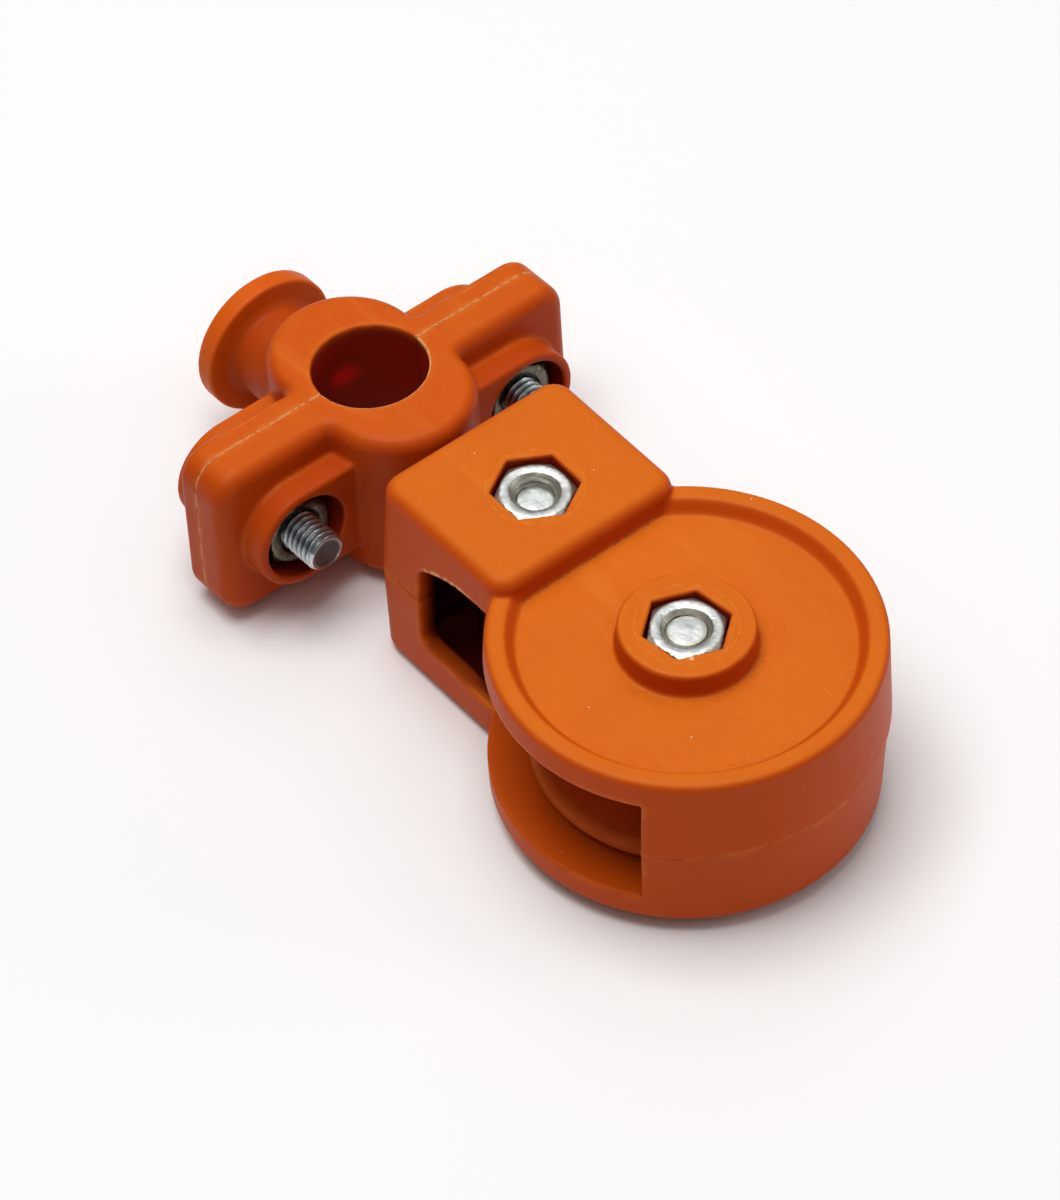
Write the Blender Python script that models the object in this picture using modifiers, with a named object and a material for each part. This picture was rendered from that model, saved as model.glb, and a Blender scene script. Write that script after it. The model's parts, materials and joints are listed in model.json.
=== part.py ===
"""Rope pulley with a swivelling rod clamp, moulded in orange plastic.

Two half shells meet at a level seam and hold a grooved wheel between their round ends. Their square
ends take the tongue of a two-piece clamp, which closes round a rod and swivels on a bolt. The tongue is
loose in its slot, so the clamp droops a little where the pulley lies on a table. Units are metres, +Z is
up, +X runs from the clamp to the wheel, and the origin lies under the middle of the whole pulley.
"""
import math

import bmesh
import bpy
from mathutils import Matrix

OBJECT_NAME = "rope_pulley"

# Running and fitting clearances
GAP = 0.0003
SHEAVE_SIDE_GAP = 0.0006
CLAMP_TO_HEAD = 0.0030
CLAMP_TAKE_UP = 0.0005
POCKET_EASE = 0.0004

# M6 fasteners
SHANK_RADIUS = 0.0029
NUT_FLATS = 0.0100
NUT_HEIGHT = 0.0050
BOLT_HEAD_HEIGHT = 0.0040
AXLE_NUT_RECESS = 0.0006
AXLE_END_RECESS = 0.0004
AXLE_HEAD_RECESS = 0.0012
SWIVEL_NUT_RECESS = 0.0014
SWIVEL_END_RECESS = 0.0018
SWIVEL_HEAD_RECESS = 0.0002
NUT_SINK = 0.0007
BOLT_TIP = 0.0006
HEX_CHAMFER = math.radians(30)
HEX_CHAMFER_DEPTH = 0.0002
AXLE_POCKET_TURN = math.radians(8)
SWIVEL_POCKET_TURN = math.radians(-1)
NUT_TURN = math.radians(4)
SWIVEL_NUT_TURN = math.radians(1)

# Sheave
SHEAVE_RADIUS = 0.0213
SHEAVE_WIDTH = 0.0176
GROOVE_ROOT_RADIUS = 0.0125
ROPE_RADIUS = 0.0042
GROOVE_FLANK = math.radians(15)
FLANGE_ROUND = 0.0018
HUB_RADIUS = 0.0070

# Round end of the shells
SHEAVE_EDGE_ROOM = 0.0032
SKIRT_WALL = 0.0026
SEAM_LAP = 0.00035
DRUM_DRAFT = 0.0006
DISC_THICKNESS = 0.0025
RIM_HEIGHT = 0.0019
RIM_WIDTH = 0.0024
RIM_SLOPE = 0.0020
RIM_ROUND = 0.0010
BOSS_RADIUS = 0.0093
BOSS_HEIGHT = 0.0037
BOSS_DRAFT = 0.0003
BOSS_ROUND = 0.0005
SKIRT_HALF_SPAN = math.radians(53)

# Square head of the shells
SWIVEL_TO_DRUM = 0.0043
HEAD_OVERLAP = 0.0078
HEAD_END = 0.0150
HEAD_HALF_WIDTH = 0.0162
HEAD_STEP = 0.0006
HEAD_WALL = 0.0030
HEAD_CORNER = 0.0032
HEAD_EDGE = 0.0020
HEAD_DRAFT = 0.0005
POST_RADIUS = 0.0078
WINDOW_END = 0.0055
WINDOW_STEP = 0.0001
WINDOW_SILL_DROP = 0.0015
WINDOW_CORNER = 0.0022
WINDOW_SLOPE_RUN = 0.0110
WINDOW_SLOPE_DROP = 0.0035

# Clamp
SWIVEL_LIMIT = math.radians(18)
CLAMP_DROOP = math.radians(3.5)
BORE_RADIUS = 0.0083
BODY_SIDE_WALL = 0.0028
BODY_FRONT_WALL = 0.0089
BODY_BACK_WALL = 0.0085
BODY_EDGE = 0.0022
CLAMP_HALF_HEIGHT = 0.0129
TONGUE_THICKNESS = 0.0080
TONGUE_HALF_WIDTH = 0.0055
EYE_RADIUS = 0.0070
CLAMP_BOLT_CLEAR = 0.0084
WING_MARGIN = 0.0110
WING_CORNER = 0.0045
FRONT_WING = 0.0055
FRONT_WING_EDGE = 0.0024
BACK_WING = 0.0039
BACK_WING_EDGE = 0.0014
LUG_RADIUS = 0.0079
FRONT_LUG = 0.0098
BACK_LUG = 0.0094
NUT_POCKET_RADIUS = 0.0065
CLAMP_NUT_RECESS = 0.0015
CLAMP_END_REACH = 0.0043
CLAMP_HEAD_PROUD = 0.0004
NECK_RADIUS = 0.0068
NECK_LENGTH = 0.0071
NECK_FLARE = 0.0018
KNOB_RADIUS = 0.0106
KNOB_THICKNESS = 0.0030
KNOB_ROUND = 0.0006

# Facets round a full turn
DRUM_STEPS = 66
RING_STEPS = 48
SHEAVE_STEPS = 44
HEX_STEPS = 36
HOLE_STEPS = 24
ROUND_STEPS = 4

# Sizes worked out from those above, heights from the seam plane
SEAM = GAP / 2
HOLE_RADIUS = SHANK_RADIUS + GAP
POCKET_FLATS = NUT_FLATS + 2 * POCKET_EASE
ROOM_HALF = SHEAVE_WIDTH / 2 + SHEAVE_SIDE_GAP
ROOM_RADIUS = SHEAVE_RADIUS + SHEAVE_EDGE_ROOM
SEAM_RADIUS = ROOM_RADIUS + SKIRT_WALL
FLOOR_TOP = ROOM_HALF + DISC_THICKNESS
RIM_TOP = FLOOR_TOP + RIM_HEIGHT
BOSS_TOP = FLOOR_TOP + BOSS_HEIGHT
HEAD_TOP = BOSS_TOP + HEAD_STEP
HEAD_NOSE = SWIVEL_TO_DRUM + HEAD_OVERLAP
SWIVEL_TO_AXLE = SEAM_RADIUS + SWIVEL_TO_DRUM
BODY_HALF_WIDTH = BORE_RADIUS + BODY_SIDE_WALL
BODY_FRONT = BORE_RADIUS + BODY_FRONT_WALL
BODY_BACK = BORE_RADIUS - CLAMP_TAKE_UP + BODY_BACK_WALL
BORE_TO_SWIVEL = HEAD_END + CLAMP_TO_HEAD + BODY_FRONT
CLAMP_BOLT_Y = BODY_HALF_WIDTH + CLAMP_BOLT_CLEAR
WING_HALF_SPAN = CLAMP_BOLT_Y + WING_MARGIN
KNOB_FACE = BODY_BACK + NECK_LENGTH + KNOB_THICKNESS
SLOT_HALF_WIDTH = (HEAD_END * math.tan(SWIVEL_LIMIT)
                   + TONGUE_HALF_WIDTH / math.cos(SWIVEL_LIMIT) + GAP)

# Room that the drooping tongue needs above and below the seam, at the posts and in the slot, and at its eye
TONGUE_RISE = TONGUE_THICKNESS / 2 * math.cos(CLAMP_DROOP) + GAP
POST_HALF_GAP = TONGUE_RISE + POST_RADIUS * math.sin(CLAMP_DROOP)
SLOT_HALF_HEIGHT = TONGUE_RISE + HEAD_END * math.sin(CLAMP_DROOP)
EYE_HOLE_RADIUS = HOLE_RADIUS + TONGUE_THICKNESS / 2 * math.sin(CLAMP_DROOP)

# Places along the pulley, whose far end is the upper edge of the drooping knob
KNOB_REACH = ((BORE_TO_SWIVEL + KNOB_FACE - KNOB_ROUND) * math.cos(CLAMP_DROOP)
              + (KNOB_RADIUS - KNOB_ROUND) * math.sin(CLAMP_DROOP) + KNOB_ROUND)
LENGTH = KNOB_REACH + SWIVEL_TO_AXLE + SEAM_RADIUS + SEAM_LAP
AXLE_X = LENGTH / 2 - SEAM_RADIUS - SEAM_LAP
SWIVEL_X = AXLE_X - SWIVEL_TO_AXLE
SEAM_Z = HEAD_TOP

# Cutters run past what they cut by this much
OVERRUN = 0.0020


def collection(name):
    """Return a new collection linked to the scene."""
    group = bpy.data.collections.new(name)
    bpy.context.scene.collection.children.link(group)
    return group


def material(name, colour, roughness, metallic):
    """Return a plain Principled material."""
    finish = bpy.data.materials.new(name)
    finish.use_nodes = True
    shader = finish.node_tree.nodes["Principled BSDF"]
    shader.inputs["Base Color"].default_value = (*colour, 1.0)
    shader.inputs["Roughness"].default_value = roughness
    shader.inputs["Metallic"].default_value = metallic
    finish.diffuse_color = (*colour, 1.0)
    return finish


def mesh_object(name, bm, group):
    """Turn a bmesh into an object in the given collection, shaded smooth between sharp edges."""
    mesh = bpy.data.meshes.new(name)
    bm.to_mesh(mesh)
    bm.free()
    mesh.shade_smooth()
    mesh.set_sharp_from_angle(angle=math.radians(30))
    thing = bpy.data.objects.new(name, mesh)
    group.objects.link(thing)
    if group is tools:
        thing.hide_render = True
        thing.display_type = "WIRE"
    return thing


def arc(centre, radius, start, end, steps):
    """Points of an arc about centre, from start to end in degrees, both ends included."""
    turns = [math.radians(start + (end - start) * i / steps) for i in range(steps + 1)]
    return [(centre[0] + radius * math.cos(t), centre[1] + radius * math.sin(t)) for t in turns]


def turned(name, profile, steps, group, ring=False):
    """Turn a profile of (radius, height) points about Z, listed down its outer side.

    An open profile starts and ends on the axis; ring closes it on itself round a bore.
    """
    bm = bmesh.new()
    verts = [bm.verts.new((r, 0.0, z)) for r, z in profile]
    for first, second in zip(verts, verts[1:]):
        bm.edges.new((first, second))
    if ring:
        bm.edges.new((verts[-1], verts[0]))
    thing = mesh_object(name, bm, group)
    screw = thing.modifiers.new("turn", "SCREW")
    screw.steps = steps
    screw.render_steps = steps
    screw.use_merge_vertices = True
    screw.merge_threshold = 0.00001
    screw.use_smooth_shade = True
    return thing


def prism(name, outline, low, high, group, axis="Z"):
    """Extrude an outline between two planes.

    The outline's points are (x, y) along Z, (x, z) along Y and (y, z) along X.
    """
    bm = bmesh.new()
    if axis == "Z":
        verts = [bm.verts.new((u, v, low)) for u, v in outline]
        step = (0.0, 0.0, high - low)
    elif axis == "Y":
        verts = [bm.verts.new((u, low, v)) for u, v in outline]
        step = (0.0, high - low, 0.0)
    else:
        verts = [bm.verts.new((low, u, v)) for u, v in outline]
        step = (high - low, 0.0, 0.0)
    face = bm.faces.new(verts)
    grown = bmesh.ops.extrude_face_region(bm, geom=[face])
    moved = [item for item in grown["geom"] if isinstance(item, bmesh.types.BMVert)]
    bmesh.ops.translate(bm, verts=moved, vec=step)
    bmesh.ops.recalc_face_normals(bm, faces=bm.faces)
    return mesh_object(name, bm, group)


def cylinder(name, radius, low, high, steps, group, axis="Z", at=(0.0, 0.0)):
    """Make a closed cylinder between two planes; at gives its other two coordinates in order."""
    bm = bmesh.new()
    bmesh.ops.create_cone(bm, cap_ends=True, segments=steps, radius1=radius, radius2=radius,
                          depth=high - low)
    middle = (low + high) / 2
    if axis == "Z":
        place = Matrix.Translation((at[0], at[1], middle))
    elif axis == "Y":
        place = Matrix.Translation((at[0], middle, at[1])) @ Matrix.Rotation(math.pi / 2, 4, "X")
    else:
        place = Matrix.Translation((middle, at[0], at[1])) @ Matrix.Rotation(math.pi / 2, 4, "Y")
    bm.transform(place)
    return mesh_object(name, bm, group)


def block(name, low, high, group):
    """Make a closed box between two opposite corners."""
    bm = bmesh.new()
    bmesh.ops.create_cube(bm, size=1.0)
    size = [b - a for a, b in zip(low, high)]
    middle = [(a + b) / 2 for a, b in zip(low, high)]
    bm.transform(Matrix.Translation(middle) @ Matrix.Diagonal((*size, 1.0)))
    return mesh_object(name, bm, group)


def combine(target, tool, operation):
    """Cut or join a target with a tool that shares its frame."""
    tool.parent = target
    step = target.modifiers.new(tool.name, "BOOLEAN")
    step.operation = operation
    step.solver = "EXACT"
    step.object = tool


def cut(target, *pieces):
    """Take each piece out of the target."""
    for piece in pieces:
        combine(target, piece, "DIFFERENCE")


def join(target, *pieces):
    """Add each piece to the target."""
    for piece in pieces:
        combine(target, piece, "UNION")


def hexagon(flats, turn=0.0):
    """Corners of a hexagon of the given width across flats."""
    corner = flats / math.sqrt(3)
    turns = [turn + math.radians(60 * i) for i in range(6)]
    return [(corner * math.cos(t), corner * math.sin(t)) for t in turns]


def hex_blank(name, low, high, turn, group):
    """Make a hexagon with its corners chamfered at both faces.

    The chamfering cone meets each face in a circle just inside the flats.
    """
    corner = NUT_FLATS / math.sqrt(3)
    face = NUT_FLATS / 2 - HEX_CHAMFER_DEPTH
    slope = math.tan(HEX_CHAMFER)
    reach = corner + GAP
    drop = (reach - face) * slope
    blank = prism(name, hexagon(NUT_FLATS, turn), low, high, group)
    chamfer = turned(name + "_chamfer", [(0.0, high + GAP * slope), (face - GAP, high + GAP * slope),
                                         (reach, high - drop), (reach, low + drop),
                                         (face - GAP, low - GAP * slope), (0.0, low - GAP * slope)],
                     HEX_STEPS, tools)
    combine(blank, chamfer, "INTERSECT")
    return blank


def bolt(name, head_seat, end, turn, finish):
    """Make a hexagon-headed bolt along Z, its head below head_seat and its tip at end."""
    shank = turned(name, [(0.0, end), (SHANK_RADIUS - BOLT_TIP, end), (SHANK_RADIUS, end - BOLT_TIP),
                          (SHANK_RADIUS, head_seat - GAP), (0.0, head_seat - GAP)],
                   HOLE_STEPS, parts)
    head = hex_blank(name + "_head", head_seat - BOLT_HEAD_HEIGHT, head_seat, turn, tools)
    join(shank, head)
    shank.data.materials.append(finish)
    return shank


def nut(name, seat, turn, finish):
    """Make a hexagon nut along Z, standing on seat, with a countersunk bore."""
    blank = hex_blank(name, seat, seat + NUT_HEIGHT, turn, parts)
    top = seat + NUT_HEIGHT
    mouth = HOLE_RADIUS + 2 * NUT_SINK
    bore = turned(name + "_bore", [(0.0, top + NUT_SINK), (mouth, top + NUT_SINK),
                                   (HOLE_RADIUS, top - NUT_SINK), (HOLE_RADIUS, seat + NUT_SINK),
                                   (mouth, seat - NUT_SINK), (0.0, seat - NUT_SINK)],
                  HOLE_STEPS, tools)
    cut(blank, bore)
    blank.data.materials.append(finish)
    return blank


def drum_profile(seam_radius):
    """Half section of the shell's round end, solid inside, from the boss down to the seam."""
    rim_radius = seam_radius - DRUM_DRAFT
    rim_inner = rim_radius - RIM_WIDTH
    foot = rim_inner - RIM_SLOPE
    boss_corner = (BOSS_RADIUS - BOSS_ROUND, BOSS_TOP - BOSS_ROUND)
    rim_corner = (rim_radius - RIM_ROUND, RIM_TOP - RIM_ROUND)
    points = [(0.0, BOSS_TOP)]
    points += arc(boss_corner, BOSS_ROUND, 90, 0, 2)
    points += [(BOSS_RADIUS + BOSS_DRAFT, FLOOR_TOP)]
    for i in range(ROUND_STEPS + 1):
        share = i / ROUND_STEPS
        lift = (1 - math.cos(math.pi * share)) / 2
        points.append((foot + RIM_SLOPE * share, FLOOR_TOP + RIM_HEIGHT * lift))
    points += arc(rim_corner, RIM_ROUND, 90, 0, ROUND_STEPS - 1)
    points += [(seam_radius, SEAM), (0.0, SEAM)]
    return points


def head_solid(name):
    """The shell's square head as a drafted block with round corners and a round top edge."""
    bm = bmesh.new()
    bmesh.ops.create_cube(bm, size=1.0)
    near = -SWIVEL_TO_AXLE - HEAD_END
    far = -SWIVEL_TO_AXLE + HEAD_NOSE
    for vert in bm.verts:
        inset = HEAD_DRAFT if vert.co.z > 0 else 0.0
        vert.co.x = far - inset if vert.co.x > 0 else near + inset
        vert.co.y = (HEAD_HALF_WIDTH - inset) * (1 if vert.co.y > 0 else -1)
        vert.co.z = HEAD_TOP if vert.co.z > 0 else SEAM
    upright = [e for e in bm.edges if abs(e.verts[0].co.z - e.verts[1].co.z) > HEAD_TOP / 2]
    bmesh.ops.bevel(bm, geom=upright, offset=HEAD_CORNER, segments=ROUND_STEPS, profile=0.5,
                    affect="EDGES")
    crown = [e for e in bm.edges if min(v.co.z for v in e.verts) > HEAD_TOP - GAP]
    bmesh.ops.bevel(bm, geom=crown, offset=HEAD_EDGE, segments=ROUND_STEPS, profile=0.5,
                    affect="EDGES")
    return mesh_object(name, bm, tools)


def sloped_window():
    """Outline in x and height of the side window whose top edge falls towards the clamp."""
    end = -SWIVEL_TO_AXLE - WINDOW_END
    top = ROOM_HALF - WINDOW_STEP
    points = [(-ROOM_RADIUS, -OVERRUN), (-ROOM_RADIUS, top)]
    for i in range(ROUND_STEPS + 1):
        share = i / ROUND_STEPS
        points.append((end + WINDOW_SLOPE_RUN * (1 - share), top - WINDOW_SLOPE_DROP * share * share))
    points.append((end, -OVERRUN))
    return points


def cornered_window():
    """Outline in x and height of the side window that has a level sill and a round corner."""
    end = -SWIVEL_TO_AXLE - WINDOW_END
    sill = ROOM_HALF - WINDOW_SILL_DROP
    points = [(-ROOM_RADIUS, -OVERRUN), (-ROOM_RADIUS, sill)]
    points += arc((end + WINDOW_CORNER, sill - WINDOW_CORNER), WINDOW_CORNER, 90, 180, ROUND_STEPS)
    points.append((end, -OVERRUN))
    return points


def wheel_level():
    """Plan outline of the wheel's room and of the openings that let the rope run to both sides."""
    span = math.degrees(SKIRT_HALF_SPAN)
    beyond = SEAM_RADIUS + OVERRUN
    reach = beyond / math.sin(SKIRT_HALF_SPAN)
    near = -ROOM_RADIUS - GAP
    outline = [(reach * math.cos(SKIRT_HALF_SPAN), -beyond)]
    outline += arc((0.0, 0.0), ROOM_RADIUS, -span, span, DRUM_STEPS // 3)
    outline += [(reach * math.cos(SKIRT_HALF_SPAN), beyond), (near, beyond), (near, -beyond)]
    return outline


def make_shell(name, seam_radius, axle_pocket, swivel_pocket, finish):
    """One half shell, modelled seam down about the wheel's axis.

    Each pocket is given by the height of its seat and the turn of its hexagon.
    """
    shell = turned(name, drum_profile(seam_radius), DRUM_STEPS, parts)
    join(shell, head_solid(name + "_head"))
    head_room = block(name + "_head_room",
                      (-SWIVEL_TO_AXLE - HEAD_END + HEAD_WALL, HEAD_WALL - HEAD_HALF_WIDTH,
                       -OVERRUN * 2),
                      (-SWIVEL_TO_AXLE + HEAD_NOSE - HEAD_WALL, HEAD_HALF_WIDTH - HEAD_WALL,
                       HEAD_TOP - HEAD_WALL), tools)
    cut(shell, prism(name + "_wheel_room", wheel_level(), -OVERRUN, ROOM_HALF, tools), head_room)
    join(shell, cylinder(name + "_hub", HUB_RADIUS, SEAM, FLOOR_TOP, RING_STEPS, tools),
         cylinder(name + "_post", POST_RADIUS, POST_HALF_GAP, HEAD_TOP - HEAD_WALL / 2, RING_STEPS,
                  tools, at=(-SWIVEL_TO_AXLE, 0.0)))
    slot = block(name + "_slot",
                 (-SWIVEL_TO_AXLE - HEAD_END - OVERRUN, -SLOT_HALF_WIDTH, -OVERRUN),
                 (-SWIVEL_TO_AXLE - HEAD_END + HEAD_WALL + GAP, SLOT_HALF_WIDTH,
                  SLOT_HALF_HEIGHT), tools)
    cut(shell, slot)
    for side, outline in ((-1, sloped_window()), (1, cornered_window())):
        edges = sorted((side * (HEAD_HALF_WIDTH - HEAD_WALL - GAP),
                        side * (HEAD_HALF_WIDTH + OVERRUN)))
        cut(shell, prism(f"{name}_window_{side}", outline, edges[0], edges[1], tools, axis="Y"))
    for label, x, (seat, turn) in (("axle", 0.0, axle_pocket), ("swivel", -SWIVEL_TO_AXLE, swivel_pocket)):
        hole = cylinder(f"{name}_{label}_hole", HOLE_RADIUS, -OVERRUN, HEAD_TOP + OVERRUN,
                        HOLE_STEPS, tools, at=(x, 0.0))
        outline = [(x + u, v) for u, v in hexagon(POCKET_FLATS, turn)]
        pocket = prism(f"{name}_{label}_pocket", outline, seat - GAP, HEAD_TOP + OVERRUN, tools)
        cut(shell, hole, pocket)
    shell.data.materials.append(finish)
    return shell


def make_sheave(finish):
    """The grooved wheel, turned about its own axis, with its bore running on the shells' hubs.

    Each flange ends in a round bead that its side of the groove runs into.
    """
    half = SHEAVE_WIDTH / 2
    sweep = 90 - math.degrees(GROOVE_FLANK)
    root = arc((GROOVE_ROOT_RADIUS + ROPE_RADIUS, 0.0), ROPE_RADIUS, 180 - sweep, 180 + sweep, 6)
    middle = (SHEAVE_RADIUS - FLANGE_ROUND, half - FLANGE_ROUND)
    bead = arc(middle, FLANGE_ROUND, 90, 0, 3) + arc(middle, FLANGE_ROUND, 0, -sweep, 2)[1:]
    bore = HUB_RADIUS + GAP
    profile = [(bore, half)] + bead + root
    profile += [(r, -z) for r, z in reversed(bead)]
    profile += [(bore, -half)]
    wheel = turned("sheave", profile, SHEAVE_STEPS, parts, ring=True)
    wheel.data.materials.append(finish)
    return wheel


def clamp_body(name, end):
    """One half of the clamp's body, round at its far end and rounded along its top and bottom.

    It runs past the parting plane at x = 0, where the half is cut off.
    """
    side = 1 if end > 0 else -1
    past = -BODY_EDGE - OVERRUN
    outline = arc((abs(end) - BODY_HALF_WIDTH, 0.0), BODY_HALF_WIDTH, -90, 90, RING_STEPS // 2)
    outline += [(past, BODY_HALF_WIDTH), (past, -BODY_HALF_WIDTH)]
    outline = [(side * x, y) for x, y in outline]
    body = prism(name, outline, -CLAMP_HALF_HEIGHT, CLAMP_HALF_HEIGHT, parts)
    edge = body.modifiers.new("edge", "BEVEL")
    edge.width = BODY_EDGE
    edge.segments = ROUND_STEPS
    edge.limit_method = "ANGLE"
    edge.angle_limit = math.radians(60)
    edge.use_clamp_overlap = False
    return body


def wing_plate(name, thickness, edge):
    """The clamp's flat plate on one side of the parting plane, its outer face's edge rounded."""
    bm = bmesh.new()
    bmesh.ops.create_cube(bm, size=1.0)
    for vert in bm.verts:
        vert.co.x = thickness if vert.co.x * thickness > 0 else 0.0
        vert.co.y = WING_HALF_SPAN * (1 if vert.co.y > 0 else -1)
        vert.co.z = CLAMP_HALF_HEIGHT * (1 if vert.co.z > 0 else -1)
    bmesh.ops.recalc_face_normals(bm, faces=bm.faces)
    corners = [e for e in bm.edges if abs(e.verts[0].co.x - e.verts[1].co.x) > abs(thickness) / 2]
    bmesh.ops.bevel(bm, geom=corners, offset=WING_CORNER, segments=ROUND_STEPS + 1, profile=0.5,
                    affect="EDGES")
    outer = [e for e in bm.edges if min(abs(v.co.x) for v in e.verts) > abs(thickness) - GAP]
    bmesh.ops.bevel(bm, geom=outer, offset=edge, segments=ROUND_STEPS, profile=0.5, affect="EDGES")
    return mesh_object(name, bm, tools)


def lug(name, side, face):
    """A clamp bolt's boss: a round end whose flat top and bottom run into the body."""
    root = BORE_RADIUS + BODY_SIDE_WALL / 2
    outline = arc((CLAMP_BOLT_Y, 0.0), LUG_RADIUS, -90, 90, HOLE_STEPS // 2)
    outline += [(root, LUG_RADIUS), (root, -LUG_RADIUS)]
    outline = [(side * y, z) for y, z in outline]
    low, high = sorted((0.0, face))
    return prism(name, outline, low, high, tools, axis="X")


def make_clamp_front(pivot, finish):
    """The front half of the clamp, with the nut pockets and the tongue that swivels in the head."""
    front = clamp_body("clamp_front", BODY_FRONT)
    front.parent = pivot
    front.location = (-BORE_TO_SWIVEL, 0.0, 0.0)
    join(front, wing_plate("front_plate", FRONT_WING, FRONT_WING_EDGE))
    for side in (-1, 1):
        join(front, lug(f"front_lug_{side}", side, FRONT_LUG))
    lean = math.degrees(math.asin(TONGUE_HALF_WIDTH / EYE_RADIUS))
    root = BODY_FRONT - BODY_FRONT_WALL / 2
    tongue = [(root, TONGUE_HALF_WIDTH), (root, -TONGUE_HALF_WIDTH)]
    tongue += arc((BORE_TO_SWIVEL, 0.0), EYE_RADIUS, lean - 180, 180 - lean, HOLE_STEPS - ROUND_STEPS)
    join(front, prism("tongue", tongue, -TONGUE_THICKNESS / 2, TONGUE_THICKNESS / 2, tools))
    reach = WING_HALF_SPAN + OVERRUN
    height = CLAMP_HALF_HEIGHT + OVERRUN
    cut(front,
        block("front_half_space", (-reach, -reach, -height), (SEAM, reach, height), tools),
        cylinder("front_bore", BORE_RADIUS, -height, height, RING_STEPS, tools),
        cylinder("eye_hole", EYE_HOLE_RADIUS, -height, height, HOLE_STEPS, tools,
                 at=(BORE_TO_SWIVEL, 0.0)))
    for side in (-1, 1):
        at = (side * CLAMP_BOLT_Y, 0.0)
        floor = FRONT_LUG - CLAMP_NUT_RECESS - NUT_HEIGHT - GAP
        cut(front,
            cylinder(f"front_hole_{side}", HOLE_RADIUS, -OVERRUN, FRONT_LUG + OVERRUN, HOLE_STEPS,
                     tools, axis="X", at=at),
            cylinder(f"nut_pocket_{side}", NUT_POCKET_RADIUS, floor, FRONT_LUG + OVERRUN,
                     HOLE_STEPS, tools, axis="X", at=at))
    front.data.materials.append(finish)
    return front


def make_clamp_back(pivot, finish):
    """The back half of the clamp, with the bolt heads' pockets and the round knob.

    Its bore's axis lies in front of the parting plane, so that the bolts can draw it tight on a rod.
    """
    back = clamp_body("clamp_back", -BODY_BACK)
    back.parent = pivot
    back.location = (-BORE_TO_SWIVEL, 0.0, 0.0)
    join(back, wing_plate("back_plate", -BACK_WING, BACK_WING_EDGE))
    for side in (-1, 1):
        join(back, lug(f"back_lug_{side}", side, -BACK_LUG))
    disc_face = BODY_BACK + NECK_LENGTH
    root = BODY_BACK - BODY_BACK_WALL / 2
    profile = [(0.0, KNOB_FACE)]
    profile += arc((KNOB_RADIUS - KNOB_ROUND, KNOB_FACE - KNOB_ROUND), KNOB_ROUND, 90, 0, 2)
    profile += arc((KNOB_RADIUS - KNOB_ROUND, disc_face + KNOB_ROUND), KNOB_ROUND, 0, -90, 2)
    profile += [(NECK_RADIUS + NECK_FLARE, disc_face)]
    profile += arc((NECK_RADIUS + NECK_FLARE, disc_face - NECK_FLARE), NECK_FLARE, 90, 180, 3)[1:]
    profile += [(NECK_RADIUS, root), (0.0, root)]
    knob = turned("knob", profile, RING_STEPS, tools)
    knob.rotation_euler = (0.0, -math.pi / 2, 0.0)
    join(back, knob)
    reach = WING_HALF_SPAN + OVERRUN
    height = CLAMP_HALF_HEIGHT + OVERRUN
    cut(back,
        block("back_half_space", (-SEAM, -reach, -height), (reach, reach, height), tools),
        cylinder("back_bore", BORE_RADIUS, -height, height, RING_STEPS, tools,
                 at=(CLAMP_TAKE_UP, 0.0)))
    floor = BACK_LUG + CLAMP_HEAD_PROUD - BOLT_HEAD_HEIGHT - GAP
    outer = BACK_LUG + OVERRUN
    for side in (-1, 1):
        cut(back, cylinder(f"back_hole_{side}", HOLE_RADIUS, -outer, OVERRUN, HOLE_STEPS, tools,
                           axis="X", at=(side * CLAMP_BOLT_Y, 0.0)))
    for side in (-1, 1):
        outline = [(side * CLAMP_BOLT_Y + u, v) for u, v in hexagon(POCKET_FLATS, math.radians(30))]
        cut(back, prism(f"head_pocket_{side}", outline, -outer, -floor, tools, axis="X"))
    back.data.materials.append(finish)
    return back


def empty(name, place):
    """An axis that other pieces hang from."""
    marker = bpy.data.objects.new(name, None)
    marker.location = place
    parts.objects.link(marker)
    return marker


for old in list(bpy.data.objects):
    bpy.data.objects.remove(old, do_unlink=True)

parts = collection(OBJECT_NAME)
tools = collection(OBJECT_NAME + "_tools")

orange = material("orange_plastic", (0.68, 0.165, 0.015), 0.42, 0.0)
wheel_orange = material("wheel_plastic", (0.62, 0.14, 0.014), 0.40, 0.0)
zinc = material("zinc_steel", (0.70, 0.71, 0.72), 0.28, 1.0)

axle = empty("axle_axis", (AXLE_X, 0.0, SEAM_Z))
swivel = empty("swivel_axis", (SWIVEL_X, 0.0, SEAM_Z))
clamp = empty("clamp_axis", (SWIVEL_X, 0.0, SEAM_Z))
clamp.rotation_euler = (0.0, -CLAMP_DROOP, 0.0)

# Heights of the seats for the nuts above the seam and the bolt heads below it
axle_nut_seat = BOSS_TOP - AXLE_NUT_RECESS - NUT_HEIGHT
axle_head_seat = BOSS_TOP - AXLE_HEAD_RECESS - BOLT_HEAD_HEIGHT
swivel_nut_seat = HEAD_TOP - SWIVEL_NUT_RECESS - NUT_HEIGHT
swivel_head_seat = HEAD_TOP - SWIVEL_HEAD_RECESS - BOLT_HEAD_HEIGHT

upper = make_shell("upper_shell", SEAM_RADIUS + SEAM_LAP, (axle_nut_seat, AXLE_POCKET_TURN),
                   (swivel_nut_seat, SWIVEL_POCKET_TURN), orange)
upper.parent = axle
lower = make_shell("lower_shell", SEAM_RADIUS, (axle_head_seat, 0.0), (swivel_head_seat, 0.0), orange)
lower.parent = axle
lower.rotation_euler = (math.pi, 0.0, 0.0)

sheave = make_sheave(wheel_orange)
sheave.parent = axle

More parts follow.
